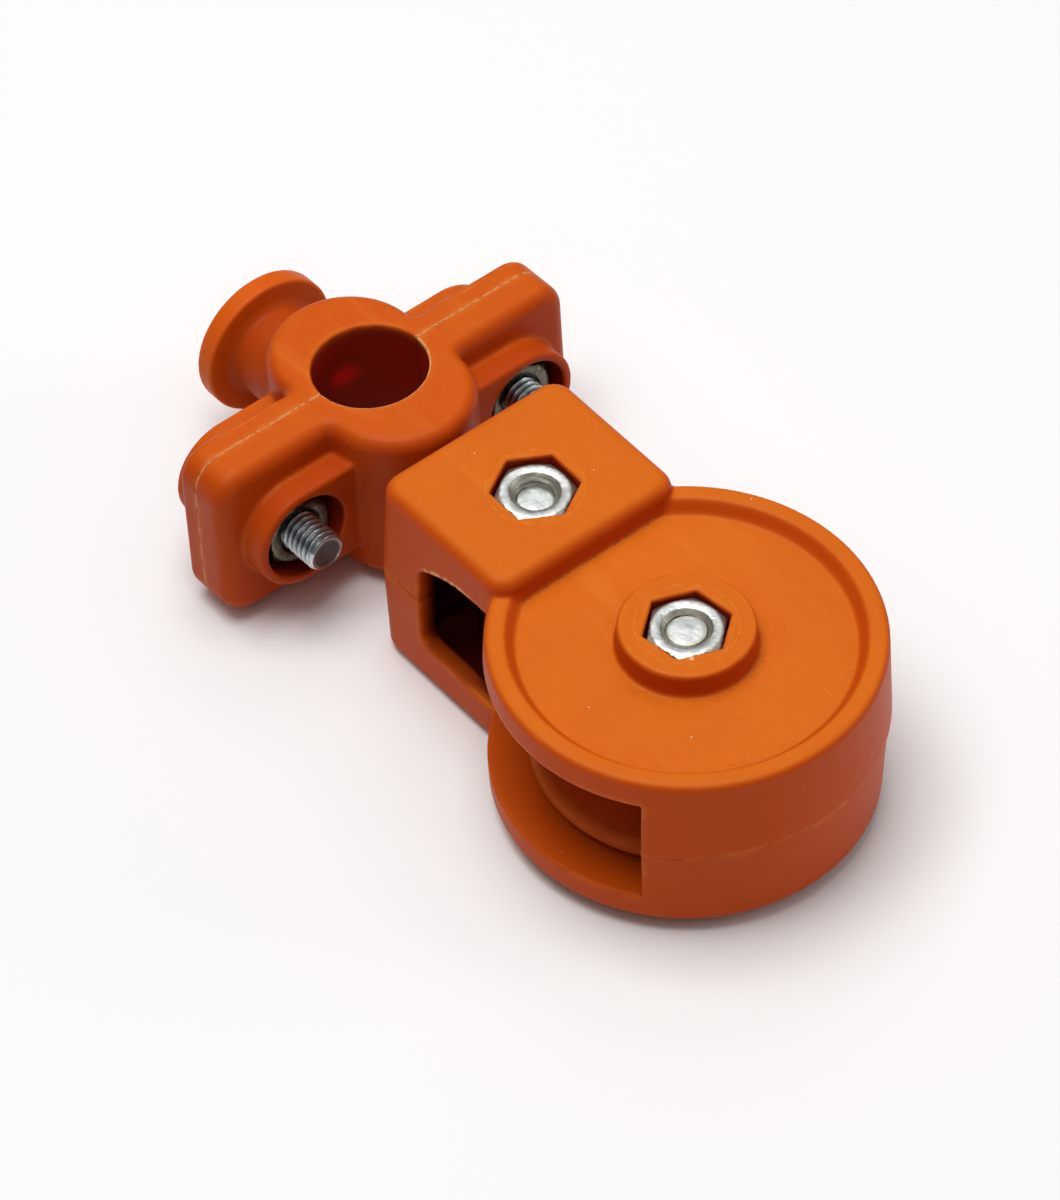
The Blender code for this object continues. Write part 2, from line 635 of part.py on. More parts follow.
axle_bolt = bolt("axle_bolt", -axle_head_seat, axle_nut_seat + NUT_HEIGHT - AXLE_END_RECESS, 0.0, zinc)
axle_bolt.parent = axle
axle_nut = nut("axle_nut", axle_nut_seat, AXLE_POCKET_TURN + NUT_TURN, zinc)
axle_nut.parent = axle
swivel_bolt = bolt("swivel_bolt", -swivel_head_seat,
                   swivel_nut_seat + NUT_HEIGHT - SWIVEL_END_RECESS, 0.0, zinc)
swivel_bolt.parent = swivel
swivel_nut = nut("swivel_nut", swivel_nut_seat, SWIVEL_POCKET_TURN + SWIVEL_NUT_TURN, zinc)
swivel_nut.parent = swivel

make_clamp_front(clamp, orange)
make_clamp_back(clamp, orange)
for side, label in ((-1, "left"), (1, "right")):
    head_seat = BACK_LUG + CLAMP_HEAD_PROUD - BOLT_HEAD_HEIGHT
    tie_bolt = bolt(f"clamp_bolt_{label}", -head_seat, FRONT_LUG + CLAMP_END_REACH, 0.0, zinc)
    tie_nut = nut(f"clamp_nut_{label}", FRONT_LUG - CLAMP_NUT_RECESS - NUT_HEIGHT, NUT_TURN, zinc)
    for piece in (tie_bolt, tie_nut):
        piece.parent = clamp
        piece.location = (-BORE_TO_SWIVEL, side * CLAMP_BOLT_Y, 0.0)
        piece.rotation_euler = (0.0, math.pi / 2, 0.0)
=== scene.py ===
import json
import math

import bpy
import numpy as np
from mathutils import Matrix, Vector


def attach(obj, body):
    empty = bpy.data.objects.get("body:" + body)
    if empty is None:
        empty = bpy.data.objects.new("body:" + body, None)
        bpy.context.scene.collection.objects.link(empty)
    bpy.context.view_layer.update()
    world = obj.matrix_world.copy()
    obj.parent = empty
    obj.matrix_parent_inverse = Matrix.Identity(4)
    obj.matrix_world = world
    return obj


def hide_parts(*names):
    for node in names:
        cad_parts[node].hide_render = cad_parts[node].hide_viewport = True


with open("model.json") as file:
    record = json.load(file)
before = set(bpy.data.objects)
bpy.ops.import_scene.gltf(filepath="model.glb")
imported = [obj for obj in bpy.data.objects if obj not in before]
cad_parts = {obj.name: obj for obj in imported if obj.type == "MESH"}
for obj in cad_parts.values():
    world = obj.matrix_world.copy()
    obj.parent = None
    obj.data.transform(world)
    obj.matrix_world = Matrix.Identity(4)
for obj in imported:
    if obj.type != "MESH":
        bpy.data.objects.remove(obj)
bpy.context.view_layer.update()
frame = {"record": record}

# The pulley lies on its side. Its two joints carry everything: the wheel turns on the axle, and the
# rod clamp swings on the swivel bolt. Lengths are in millimetres until a mesh is made.
joint_at = {joint["name"]: np.array(joint["pos_m"]) * 1000
            for joint in frame["record"]["behaviour"]["joints"]}
AXLE = joint_at["wheel_spin"]
SWIVEL = joint_at["clamp_swivel"]
SWIVEL_TO_AXLE = AXLE[0] - SWIVEL[0]


# Camera: it stands a metre off, over the pulley's left side and its wheel, as in the photo. A long
# lens keeps edges that run away from it almost parallel.
CAMERA_TURN, CAMERA_HEIGHT, CAMERA_ROLL = (math.radians(a) for a in (-38.85, 48.47, -0.86))
CAMERA_AWAY, CAMERA_RIGHT, CAMERA_UP, CAMERA_LENS = 1.0, -0.02083, 0.01354, 225

away = Vector((math.cos(CAMERA_TURN) * math.cos(CAMERA_HEIGHT),
               math.sin(CAMERA_TURN) * math.cos(CAMERA_HEIGHT), math.sin(CAMERA_HEIGHT)))
level = Vector((-math.sin(CAMERA_TURN), math.cos(CAMERA_TURN), 0.0))
upright = away.cross(level)
right = math.cos(CAMERA_ROLL) * level + math.sin(CAMERA_ROLL) * upright
top = math.cos(CAMERA_ROLL) * upright - math.sin(CAMERA_ROLL) * level
eye = Vector(AXLE / 1000) + CAMERA_AWAY * away + CAMERA_RIGHT * right + CAMERA_UP * top
lens = bpy.data.cameras.new("portrait")
lens.lens = CAMERA_LENS
lens.sensor_width = 36
lens.clip_end = 10
camera = bpy.data.objects.new("portrait", lens)
camera.matrix_world = Matrix(((right.x, top.x, away.x, eye.x), (right.y, top.y, away.y, eye.y),
                              (right.z, top.z, away.z, eye.z), (0, 0, 0, 1)))
bpy.context.scene.collection.objects.link(camera)
bpy.context.scene.camera = camera


# Half shells: two mouldings of orange plastic meet at the seam. Each is a round drum with a sunk floor,
# a raised rim and a boss for the axle, and a square head with a post for the swivel bolt. Heights are
# above the seam, and places along the head and its windows are from the swivel bolt.
SEAM, SEAM_EDGE, SEAM_RADIUS, SEAM_LAP, DRUM_DRAFT = 0.03, 0.06, 27.1, 0.35, 0.6
ROOM_HALF, ROOM_RADIUS, MOULD_EDGE, OVERCUT = 9.4, 24.5, 0.35, 0.3
FLOOR_TOP, RIM_TOP, BOSS_TOP, HEAD_TOP = 11.9, 13.8, 15.6, 16.2
RIM_WIDTH, RIM_SLOPE, RIM_ROUND = 2.4, 2.0, 1.0
BOSS_RADIUS, BOSS_DRAFT, BOSS_ROUND, BOSS_FOOT = 9.3, 0.3, 0.5, 0.5
SKIRT_SPAN = math.radians(53)
HEAD_NEAR, HEAD_FAR, HEAD_HALF = -15.0, 12.1, 16.2
HEAD_WALL, HEAD_CORNER, HEAD_EDGE, HEAD_DRAFT, HEAD_FOOT = 3.0, 3.2, 2.0, 0.5, 0.6
HEAD_ROOM_CORNER, HEAD_ROOM_ROUND = 1.2, 1.0
HUB_RADIUS, POST_RADIUS, POST_END, POST_FOOT = 7.0, 7.8, 4.77, 0.6
WINDOW_END, WINDOW_ROUND, WINDOW_SLOPE_RUN, WINDOW_SLOPE_DROP = -5.5, 0.8, 11.0, 3.5
WINDOW_SILL, WINDOW_SILL_RUN, WINDOW_CORNER = 0.7, 5.0, 2.2
SLOT_HALF_WIDTH, SLOT_TOP, SLOT_ROUND = 10.96, 5.21, 0.6
BOLT_HOLE, HOLE_EDGE, POCKET_FLATS, POCKET_FOOT, POCKET_EDGE = 3.2, 0.2, 10.8, 0.3, 0.25
NUT_SEATS, BOLT_HEAD_SEATS, SEAT_GAP = (10.0, 10.3), (10.4, 12.0), 0.3


# Each form is a distance function of place, negative inside the plastic.
def joined(a, b, radius):
    """Either form: the smaller distance, with a fillet of the radius where the two meet."""
    return (np.maximum(radius, np.minimum(a, b))
            - np.hypot(np.maximum(radius - a, 0), np.maximum(radius - b, 0)))


def common(a, b, radius):
    """Both forms: the larger distance, with the edge between the two rounded by the radius."""
    return (np.minimum(-radius, np.maximum(a, b))
            + np.hypot(np.maximum(radius + a, 0), np.maximum(radius + b, 0)))


def without(a, b, radius):
    """The first form less the second, with the edges that this leaves rounded by the radius."""
    return common(a, -b, radius)


def soft_step(t):
    """A step from 0 to 1 with level ends: 3t^2 - 2t^3 on the range 0 to 1."""
    t = np.clip(t, 0, 1)
    return t * t * (3 - 2 * t)


def rounded_rectangle(u, v, half_u, half_v, corner):
    """Distance from a rectangle about the origin whose corners are arcs."""
    a = np.abs(u) - half_u + corner
    b = np.abs(v) - half_v + corner
    return np.minimum(np.maximum(a, b), 0) + np.hypot(np.maximum(a, 0), np.maximum(b, 0)) - corner


def hexagon(u, v, flats, turn):
    """Distance from a hexagon: the largest of the distances from its three pairs of flats."""
    sides = [np.abs(u * math.cos(turn + a) + v * math.sin(turn + a))
             for a in np.radians((30, 90, 150))]
    return np.maximum(np.maximum(sides[0], sides[1]), sides[2]) - flats / 2


def slope(form, points, reach=0.02):
    """The form's gradient at points, by differences over a short reach either way."""
    steps = reach * np.eye(3)
    rise = [form(*(points + s).T) - form(*(points - s).T) for s in steps]
    return np.stack(rise, axis=1) / (2 * reach)


def half_shell(seam_radius, seats, turns):
    """The distance function of one half shell about the axle, seam down at height 0.

    Drum, boss and head are joined. The wheel's room, the head's room, the tongue's slot and the rope
    windows are taken away, and so are the bolt holes and the hexagon pockets at the axle and at the
    swivel, which have the seats and turns given.
    """
    rim_inner = seam_radius - DRUM_DRAFT - RIM_WIDTH
    foot = rim_inner - RIM_SLOPE

    def form(x, y, z):
        radius = np.hypot(x, y)
        u = x + SWIVEL_TO_AXLE
        drum = common(radius - (seam_radius - DRUM_DRAFT * z / RIM_TOP), z - RIM_TOP, RIM_ROUND)
        climb = np.clip((radius - foot) / RIM_SLOPE, 0, 1)
        rise = (RIM_TOP - FLOOR_TOP) * soft_step(climb)
        steep = (RIM_TOP - FLOOR_TOP) / RIM_SLOPE * 6 * climb * (1 - climb)
        drum = np.maximum(drum, (z - FLOOR_TOP - rise) / np.hypot(1, steep))
        wall = BOSS_RADIUS + BOSS_DRAFT * (BOSS_TOP - z) / (BOSS_TOP - FLOOR_TOP)
        boss = common(radius - wall, z - BOSS_TOP, BOSS_ROUND)
        inset = HEAD_DRAFT * np.clip(z, 0, HEAD_TOP) / HEAD_TOP
        plan = rounded_rectangle(u - (HEAD_FAR + HEAD_NEAR) / 2, y,
                                 (HEAD_FAR - HEAD_NEAR) / 2 - inset, HEAD_HALF - inset, HEAD_CORNER)
        head = common(plan, z - HEAD_TOP, HEAD_EDGE)
        solid = joined(joined(drum, boss, BOSS_FOOT), head, HEAD_FOOT)

        gap = np.maximum(math.sin(SKIRT_SPAN) * x - math.cos(SKIRT_SPAN) * np.abs(y),
                         -ROOM_RADIUS - OVERCUT - x)
        room = common(joined(radius - ROOM_RADIUS, gap, MOULD_EDGE), z - ROOM_HALF, MOULD_EDGE)
        room = without(room, radius - HUB_RADIUS, MOULD_EDGE)
        solid = without(solid, room, MOULD_EDGE)

        near, far = HEAD_NEAR + HEAD_WALL, HEAD_FAR - HEAD_WALL
        head_room = rounded_rectangle(u - (near + far) / 2, y, (far - near) / 2, HEAD_HALF - HEAD_WALL,
                                      HEAD_ROOM_CORNER)
        head_room = common(head_room, z - HEAD_TOP + HEAD_WALL, HEAD_ROOM_ROUND)
        post = common(np.hypot(u, y) - POST_RADIUS, POST_END - z, MOULD_EDGE)
        solid = without(solid, without(head_room, post, POST_FOOT), MOULD_EDGE)

        slot = common(np.abs(y) - SLOT_HALF_WIDTH, z - SLOT_TOP, SLOT_ROUND)
        solid = without(solid, np.maximum(slot, u - near - OVERCUT), MOULD_EDGE)

        share = (WINDOW_END + WINDOW_SLOPE_RUN - u) / WINDOW_SLOPE_RUN
        fall = WINDOW_SLOPE_DROP * np.maximum(share, 0) ** 2
        sloped = common(z - ROOM_HALF + fall, WINDOW_END - u, WINDOW_ROUND)
        level_sill = ROOM_HALF - WINDOW_SILL * soft_step((-ROOM_RADIUS - x) / WINDOW_SILL_RUN)
        level_sill = common(z - level_sill, WINDOW_END - u, WINDOW_CORNER)
        window = np.maximum(np.where(y < 0, sloped, level_sill), x + ROOM_RADIUS)
        window = np.maximum(window, HEAD_HALF - HEAD_WALL - OVERCUT - np.abs(y))
        solid = without(solid, window, MOULD_EDGE)

        for along, seat, turn in zip((x, u), seats, turns):
            hole = np.hypot(along, y) - BOLT_HOLE
            pocket = hexagon(along, y, POCKET_FLATS, math.radians(turn))
            pocket = common(pocket, seat - SEAT_GAP - z, POCKET_FOOT)
            solid = without(without(solid, hole, HOLE_EDGE), pocket, POCKET_EDGE)
        return common(solid, SEAM - z, SEAM_EDGE)

    return form


def skin(form, low, high, cell, inset=0.03):
    """Wrap a form in quads: one point in each cell of a grid that its surface crosses.

    A cell's point starts at the mean of the crossings on its edges and slides down the gradient on to
    the surface. Each grid edge that the surface crosses gives the quad of the four cells round it. Grid
    planes lie just inside the form's lowest and highest faces, which keeps the edges there crisp.
    """
    low, high = np.array(low) + inset, np.array(high) - inset
    count = np.round((high - low) / cell)
    size = (high - low) / count
    start = low - 2 * size
    rows = [a + s * np.arange(n + 5) for a, s, n in zip(start, size, count)]
    value = form(*np.meshgrid(*rows, indexing="ij", sparse=True))
    inside = value < 0
    corners = np.array(np.meshgrid((0, 1), (0, 1), (0, 1), indexing="ij")).reshape(3, 8).T
    shape = np.array(value.shape)

    def shifted(array, corner):
        return array[tuple(slice(c, n - 1 + c) for c, n in zip(corner, shape))]

    count = sum(shifted(inside, corner).astype(np.int8) for corner in corners)
    busy = (count > 0) & (count < 8)
    number = np.full(busy.shape, -1)
    number[busy] = np.arange(busy.sum())
    cells = np.argwhere(busy)
    total = np.zeros(cells.shape)
    hits = np.zeros(len(cells))
    for axis in range(3):
        for corner in corners[corners[:, axis] == 0]:
            other = corner + np.eye(3, dtype=int)[axis]
            a = value[tuple((cells + corner).T)]
            b = value[tuple((cells + other).T)]
            crossed = (a < 0) != (b < 0)
            share = np.where(crossed, a / np.where(crossed, a - b, 1), 0)
            crossing = cells + corner + share[:, None] * np.eye(3)[axis]
            total += crossing * crossed[:, None]
            hits += crossed
    points = start + size * total / hits[:, None]
    for _ in range(4):
        gradient = slope(form, points)
        steep = np.maximum((gradient ** 2).sum(axis=1), 0.1)
        move = -(form(*points.T) / steep)[:, None] * gradient
        far = np.maximum(np.linalg.norm(move, axis=1) / (0.4 * cell), 1)
        points += move / far[:, None]
    quads = []
    for axis in range(3):
        first, second = (axis + 1) % 3, (axis + 2) % 3
        span = [slice(1, n - 1) for n in shape]
        here = tuple(slice(0, n - 1) if i == axis else s for i, (s, n) in enumerate(zip(span, shape)))
        there = tuple(slice(1, n) if i == axis else s for i, (s, n) in enumerate(zip(span, shape)))
        crossed = inside[here] != inside[there]
        spots = np.argwhere(crossed) + np.where(np.arange(3) == axis, 0, 1)
        back = np.zeros((4, 3), dtype=int)
        back[:, first] = (1, 0, 0, 1)
        back[:, second] = (1, 1, 0, 0)
        quad = np.stack([number[tuple((spots - b).T)] for b in back], axis=1)
        outward = inside[here][crossed]
        quads.append(np.where(outward[:, None], quad, quad[:, ::-1]))
    return points, np.concatenate(quads)


def smooth_object(name, points, faces, sharp=None):
    """Make a mesh object from points in millimetres; edges sharper than the angle stay crisp."""
    mesh = bpy.data.meshes.new(name)
    mesh.from_pydata((np.asarray(points) / 1000).tolist(), [], np.asarray(faces).tolist())
    mesh.shade_smooth()
    if sharp:
        mesh.set_sharp_from_angle(angle=math.radians(sharp))
    thing = bpy.data.objects.new(name, mesh)
    bpy.context.scene.collection.objects.link(thing)
    return thing


def store_wear_dust_and_shade(thing, form, points, depth=1.0, height=3.0):
    """Store how sharp each point's edge is, how deep its corner and how far it faces sideways, which feeds
    painted shade.

    Below a flat face the distance grows as fast as the depth, and above it as fast as the height. An
    edge falls short below, and an inner corner falls short above.
    """
    outward = slope(form, points)
    outward /= np.linalg.norm(outward, axis=1)[:, None]
    edge = 1 + form(*(points - depth * outward).T) / depth
    crevice = 1 - form(*(points + height * outward).T) / height
    side = np.hypot(outward[:, 0], outward[:, 1])
    for name, value in (("edge", edge), ("crevice", crevice), ("side", side)):
        layer = thing.data.attributes.new(name, "FLOAT", "POINT")
        layer.data.foreach_set("value", np.clip(value, 0, 1).astype(np.float32))


class Wire:
    """A node's output socket; + - * / and the rest add the Math nodes that work them out."""

    def __init__(self, finish, socket):
        self.finish = finish
        self.socket = socket

    def _sum(self, operation, first, second):
        return self.finish.node("ShaderNodeMath", {"operation": operation}, {0: first, 1: second})

    def __add__(self, other):
        return self._sum("ADD", self, other)

    def __radd__(self, other):
        return self._sum("ADD", other, self)

    def __sub__(self, other):
        return self._sum("SUBTRACT", self, other)

    def __rsub__(self, other):
        return self._sum("SUBTRACT", other, self)

    def __mul__(self, other):
        return self._sum("MULTIPLY", self, other)

    def __rmul__(self, other):
        return self._sum("MULTIPLY", other, self)

    def __pow__(self, other):
        return self._sum("POWER", self, other)

    def __abs__(self):
        return self.finish.node("ShaderNodeMath", {"operation": "ABSOLUTE"}, {0: self})

    def over(self, low, high):
        """0 below low, 1 above high and a soft step between them."""
        return self.finish.node("ShaderNodeMapRange", {"interpolation_type": "SMOOTHSTEP"},
                                {"Value": self, "From Min": low, "From Max": high})

    def under(self, low, high):
        """1 below low, 0 above high and a soft step between them."""
        return 1 - self.over(low, high)

    def near(self, middle, half, soft):
        """1 within half of the middle, fading to 0 over the soft width."""
        return abs(self - middle).under(half, half + soft)

    def most(self, other):
        return self._sum("MAXIMUM", self, other)


class Finish:
    """A material in layers: colour, roughness and height in millimetres, which marks are laid over."""

    def __init__(self, name, colour, roughness, origin=(0, 0, 0), lean=0.0, **uniform):
        self.material = bpy.data.materials.new(name)
        self.material.use_nodes = True
        self.tree = self.material.node_tree
        self.shader = self.tree.nodes["Principled BSDF"]
        for socket, value in uniform.items():
            self.shader.inputs[socket.replace("_", " ")].default_value = value
        place = self.node("ShaderNodeTexCoord", {}, {}, "Object")
        self.place = self.node("ShaderNodeMapping", {"vector_type": "TEXTURE"},
                               {"Vector": place, "Location": np.array(origin) / 1000,
                                "Rotation": (0.0, lean, 0.0), "Scale": (0.001, 0.001, 0.001)})
        self.colour = self.node("ShaderNodeRGB", {"colour": colour}, {})
        self.rough = self.node("ShaderNodeValue", {"number": roughness}, {})
        self.height = self.node("ShaderNodeValue", {"number": 0.0}, {})

    def node(self, kind, settings, sockets, out=0):
        """Add a node: its settings first, then the values or wires of its sockets."""
        node = self.tree.nodes.new(kind)
        for key, value in settings.items():
            if key == "colour":
                node.outputs[0].default_value = (*value, 1.0)
            elif key == "number":
                node.outputs[0].default_value = value
            else:
                setattr(node, key, value)
        for key, value in sockets.items():
            if isinstance(value, Wire):
                self.tree.links.new(value.socket, node.inputs[key])
            else:
                node.inputs[key].default_value = value
        return Wire(self, node.outputs[out])

    def along(self, axis):
        """The place along X, Y or Z in millimetres, in the piece's own frame."""
        return self.node("ShaderNodeSeparateXYZ", {}, {0: self.place}, axis)

    def around(self, first, second):
        """The distance from an axis, from two places across it."""
        return (first * first + second * second) ** 0.5

    def noise(self, size, detail=2.0, stretch=(1, 1, 1), shift=0.0, distortion=0.0):
        """Smooth noise from 0 to 1 whose lumps are about size millimetres, longer along stretch."""
        scale = tuple(1 / (size * s) for s in stretch)
        place = self.node("ShaderNodeMapping", {}, {"Vector": self.place, "Scale": scale,
                                                    "Location": (shift, shift * 0.7, shift * 1.3)})
        return self.node("ShaderNodeTexNoise", {}, {"Vector": place, "Scale": 1.0, "Detail": detail,
                                                    "Distortion": distortion}, "Fac")

    def specks(self, spacing, size, share, shift=0.0):
        """Scattered dots: a share of the cells of a spacing hold one dot of about size millimetres."""
        place = self.node("ShaderNodeMapping", {}, {"Vector": self.place,
                                                    "Scale": (1 / spacing,) * 3,
                                                    "Location": (shift, -shift, shift * 0.5)})
        cells = {"Vector": place, "Scale": 1.0}
        distance = self.node("ShaderNodeTexVoronoi", {}, cells, "Distance")
        draw = self.node("ShaderNodeTexVoronoi", {}, cells, "Color")
        chosen = self.node("ShaderNodeSeparateColor", {}, {0: draw}).under(share, share + 0.01)
        reach = size / spacing / 2
        return distance.under(reach * 0.5, reach) * chosen

    def attribute(self, name):
        return self.node("ShaderNodeAttribute", {"attribute_name": name}, {}, "Fac")

    def mark(self, mask, colour=None, rough=None, height=None):
        """Lay a mark over the finish where the mask is 1."""
        if colour is not None:
            self.colour = self.node("ShaderNodeMix", {"data_type": "RGBA"},
                                    {0: mask, 6: self.colour, 7: (*colour, 1.0)}, 2)
        if rough is not None:
            self.rough = self.rough + mask * (rough - self.rough)
        if height is not None:
            self.height = self.height + mask * height

    def done(self):
        """Feed the layers to the shader."""
        normal = self.node("ShaderNodeBump", {}, {"Strength": 1.0, "Distance": 0.001,
                                                  "Height": self.height})
        for socket, wire in (("Base Color", self.colour), ("Roughness", self.rough),
                             ("Normal", normal)):
            self.tree.links.new(wire.socket, self.shader.inputs[socket])
        return self.material


# The plastic has a satin grain and is a little see-through. It shows flow streaks, dust specks, pale
# flash where mould parts met, and grey dust in its inner corners. Faces that turn sideways are given a
# deeper orange: painted shade.
ORANGE = (0.64, 0.135, 0.0062)
ORANGE_DEEP = (0.57, 0.100, 0.005)
ORANGE_SIDE_SHADE = (0.53, 0.066, 0.004)
ORANGE_PALE = (0.74, 0.20, 0.022)
FLASH = (0.86, 0.46, 0.20)
DUST = (0.10, 0.055, 0.030)
LINT = (0.80, 0.62, 0.48)


def orange_plastic(name, colour=ORANGE, side=ORANGE_SIDE_SHADE, **place):
    """The plastic all orange pieces share, with painted shade on sideways faces, ready for their own
    marks.
    """
    finish = Finish(name, colour, 0.36, IOR=1.45, Specular_IOR_Level=0.09, Subsurface_Weight=0.06,
                    Subsurface_Radius=(1.0, 0.25, 0.06), Subsurface_Scale=0.0018, **place)
    finish.mark(finish.noise(16, 3).over(0.35, 0.72) * 0.35, colour=ORANGE_DEEP)
    streaks = finish.noise(5, 2, stretch=(5, 1, 1), shift=3.1, distortion=0.6)
    finish.mark(streaks.over(0.52, 0.8) * 0.28, colour=ORANGE_PALE)
    finish.mark(finish.noise(1.1, 3, shift=8.0).over(0.45, 0.75) * 0.10, colour=ORANGE_PALE)
    # Painted shade: the more a face turns sideways, the more it takes the deeper side colour.
    finish.mark(finish.attribute("side").over(0.25, 0.95), colour=side)
    finish.mark(finish.noise(3.0, 4, shift=5.0), rough=0.46)
    finish.height = (finish.noise(0.55, 2) * 0.006 + finish.noise(7, 1, shift=2.0) * 0.05)
    edge = finish.attribute("edge")
    crevice = finish.attribute("crevice")
    finish.mark(edge.over(0.10, 0.26) * finish.noise(2.6, 3, shift=1.0).over(0.34, 0.66) * 0.24,
                colour=ORANGE_PALE, rough=0.34)
    grains = finish.noise(0.5, 2, shift=6.0).over(0.50, 0.62)
    drift = finish.noise(6, 2, shift=9.0).over(0.42, 0.62)
    finish.mark(crevice.over(0.22, 0.34) * grains * drift * 0.14, colour=DUST, rough=0.75)
    finish.mark(finish.specks(3.2, 0.30, 0.16), colour=LINT, rough=0.6, height=0.02)
    finish.mark(finish.specks(4.1, 0.26, 0.12, shift=4.4), colour=DUST, rough=0.6)
    scratches = finish.noise(0.9, 1, stretch=(9, 0.35, 0.35), shift=7.3, distortion=0.3)
    finish.mark(scratches.over(0.735, 0.76) * 0.30, colour=ORANGE_PALE, rough=0.5, height=-0.01)
    return finish


# Painted shade for the head's room, the drum's room, the window sills and the hexagon pockets.
HEAD_ROOM_SHADE, DRUM_ROOM_SHADE = (0.09, 0.006, 0.004), (0.47, 0.050, 0.003)
SILL_SHADE, POCKET_SHADE = (0.30, 0.042, 0.002), (0.27, 0.018, 0.003)
PALE_DUST = (0.60, 0.50, 0.42)
SWIVEL_RING, BOSS_RING, POCKET_MARK = 6.75, 7.3, 6.25
FLAKE_AT = (4.7, -3.4)


def shell_finish(name, lower):
    """Orange plastic with painted shade in its rooms, window sills and pockets, with flash, mould rings
    and settled dust.
    """
    finish = orange_plastic(name, origin=AXLE)
    x, y = finish.along("X"), finish.along("Y")
    z = finish.along("Z") * (-1 if lower else 1)
    radius = finish.around(x, y)
    swivel = finish.around(x + SWIVEL_TO_AXLE, y)
    ragged = finish.noise(0.8, 3, shift=2.2).over(0.40, 0.60)
    near_wall, window_end = HEAD_NEAR - SWIVEL_TO_AXLE, WINDOW_END - SWIVEL_TO_AXLE
    inner_half, inner_top = HEAD_HALF - HEAD_WALL, HEAD_TOP - HEAD_WALL

    # Painted shade: the walls inside the head's room are nearly black.
    inside = x.under(-ROOM_RADIUS + 1, -ROOM_RADIUS + 3) * x.over(near_wall + 0.8, near_wall + 2.0)
    inside = inside * z.under(inner_top + 0.2, inner_top + 0.8)
    finish.mark(inside * abs(y).under(inner_half + 0.4, inner_half + 2.55), colour=HEAD_ROOM_SHADE, rough=0.5)
    finish.mark(z.under(0.05, 0.16) * ragged * 0.17, colour=FLASH, rough=0.5, height=0.02)

    beside = x.under(-ROOM_RADIUS, -ROOM_RADIUS + 1) * x.over(window_end + 0.3, window_end + 1.3)
    sill = z.under(ROOM_HALF - 0.5, ROOM_HALF + 0.1) * abs(y).over(inner_half - 0.2, inner_half + 0.8)
    sill = sill * beside * finish.attribute("side").under(0.45, 0.95)
    finish.mark(sill * 0.85, colour=SILL_SHADE)
    if not lower:
        lip = ROOM_HALF - WINDOW_SLOPE_DROP * 0.6
        torn = z.near(lip, 2.6, 0.3) * finish.attribute("edge").over(0.10, 0.22) * beside
        torn = torn * abs(y).over(HEAD_HALF - 0.7, HEAD_HALF - 0.45)
        torn = torn * finish.noise(1.3, 3, shift=2.2).over(0.44, 0.60)
        finish.mark(torn * 0.6, colour=FLASH, rough=0.5)
    # Painted shade on the faces of the wheel's room inside the drum.
    within = radius.under(ROOM_RADIUS + 1.8, ROOM_RADIUS + 2.3)
    finish.mark(within * z.under(ROOM_HALF + 0.1, ROOM_HALF + 0.5) * 0.7, colour=DRUM_ROOM_SHADE)

    on_floor = z.near(FLOOR_TOP, 0.4, 0.3)
    rim_foot = radius.near(SEAM_RADIUS - DRUM_DRAFT - RIM_WIDTH - RIM_SLOPE, 0.25, 0.5) * on_floor
    rim_foot = rim_foot * finish.noise(9, 2, shift=1.5).over(0.42, 0.60)
    boss_foot = radius.near(BOSS_RADIUS + BOSS_DRAFT + 0.3, 0.2, 0.3) * on_floor
    boss_foot = boss_foot * finish.noise(5, 1, shift=3.3).over(0.46, 0.66)
    head_foot = x.near(HEAD_FAR - SWIVEL_TO_AXLE - 0.15, 0.10, 0.25) * z.near(FLOOR_TOP, 0.5, 0.3)
    head_foot = head_foot * finish.noise(6, 2, shift=2.9).over(0.34, 0.54)
    settled = (rim_foot * 0.3).most(boss_foot * 0.6).most(head_foot)
    settled = settled * finish.noise(0.35, 2, shift=4.0).over(0.52, 0.62)
    finish.mark(settled * 0.55, colour=DUST, rough=0.8)
    finish.mark(head_foot * finish.specks(1.0, 0.36, 0.35, shift=1.9), colour=PALE_DUST, rough=0.6)

    for reach, level in ((swivel, HEAD_TOP), (radius, BOSS_TOP)):
        pocket = reach.under(POCKET_MARK, POCKET_MARK + 0.15)
        pocket = pocket * reach.over(BOLT_HOLE + 0.1, BOLT_HOLE + 0.4)
        pocket = pocket * z.over(ROOM_HALF + 0.1, ROOM_HALF + 0.3) * z.under(level - 0.7, level - 0.25)
        finish.mark(pocket, colour=POCKET_SHADE, rough=0.5)
    if not lower:
        flake = finish.around(x - FLAKE_AT[0], (y - FLAKE_AT[1]) * 1.6).under(0.45, 0.75)
        flake = flake * z.over(BOSS_TOP - 0.8, BOSS_TOP - 0.4) * finish.noise(0.5, 2).over(0.35, 0.5)
        finish.mark(flake, colour=FLASH, rough=0.5, height=0.06)
    head_ring = swivel.near(SWIVEL_RING, 0.10, 0.20) * z.over(HEAD_TOP - 0.3, HEAD_TOP - 0.1)
    boss_ring = (radius + finish.noise(2.5, 2, shift=5.2) * 0.6).near(BOSS_RING, 0.10, 0.20)
    rings = head_ring.most(boss_ring * z.near(BOSS_TOP, 0.2, 0.1))
    finish.mark(rings * finish.noise(4, 1, shift=6.6).over(0.40, 0.55), height=0.05)
    finish.mark(rings * ragged * 0.45, colour=ORANGE_PALE)
    return finish.done()


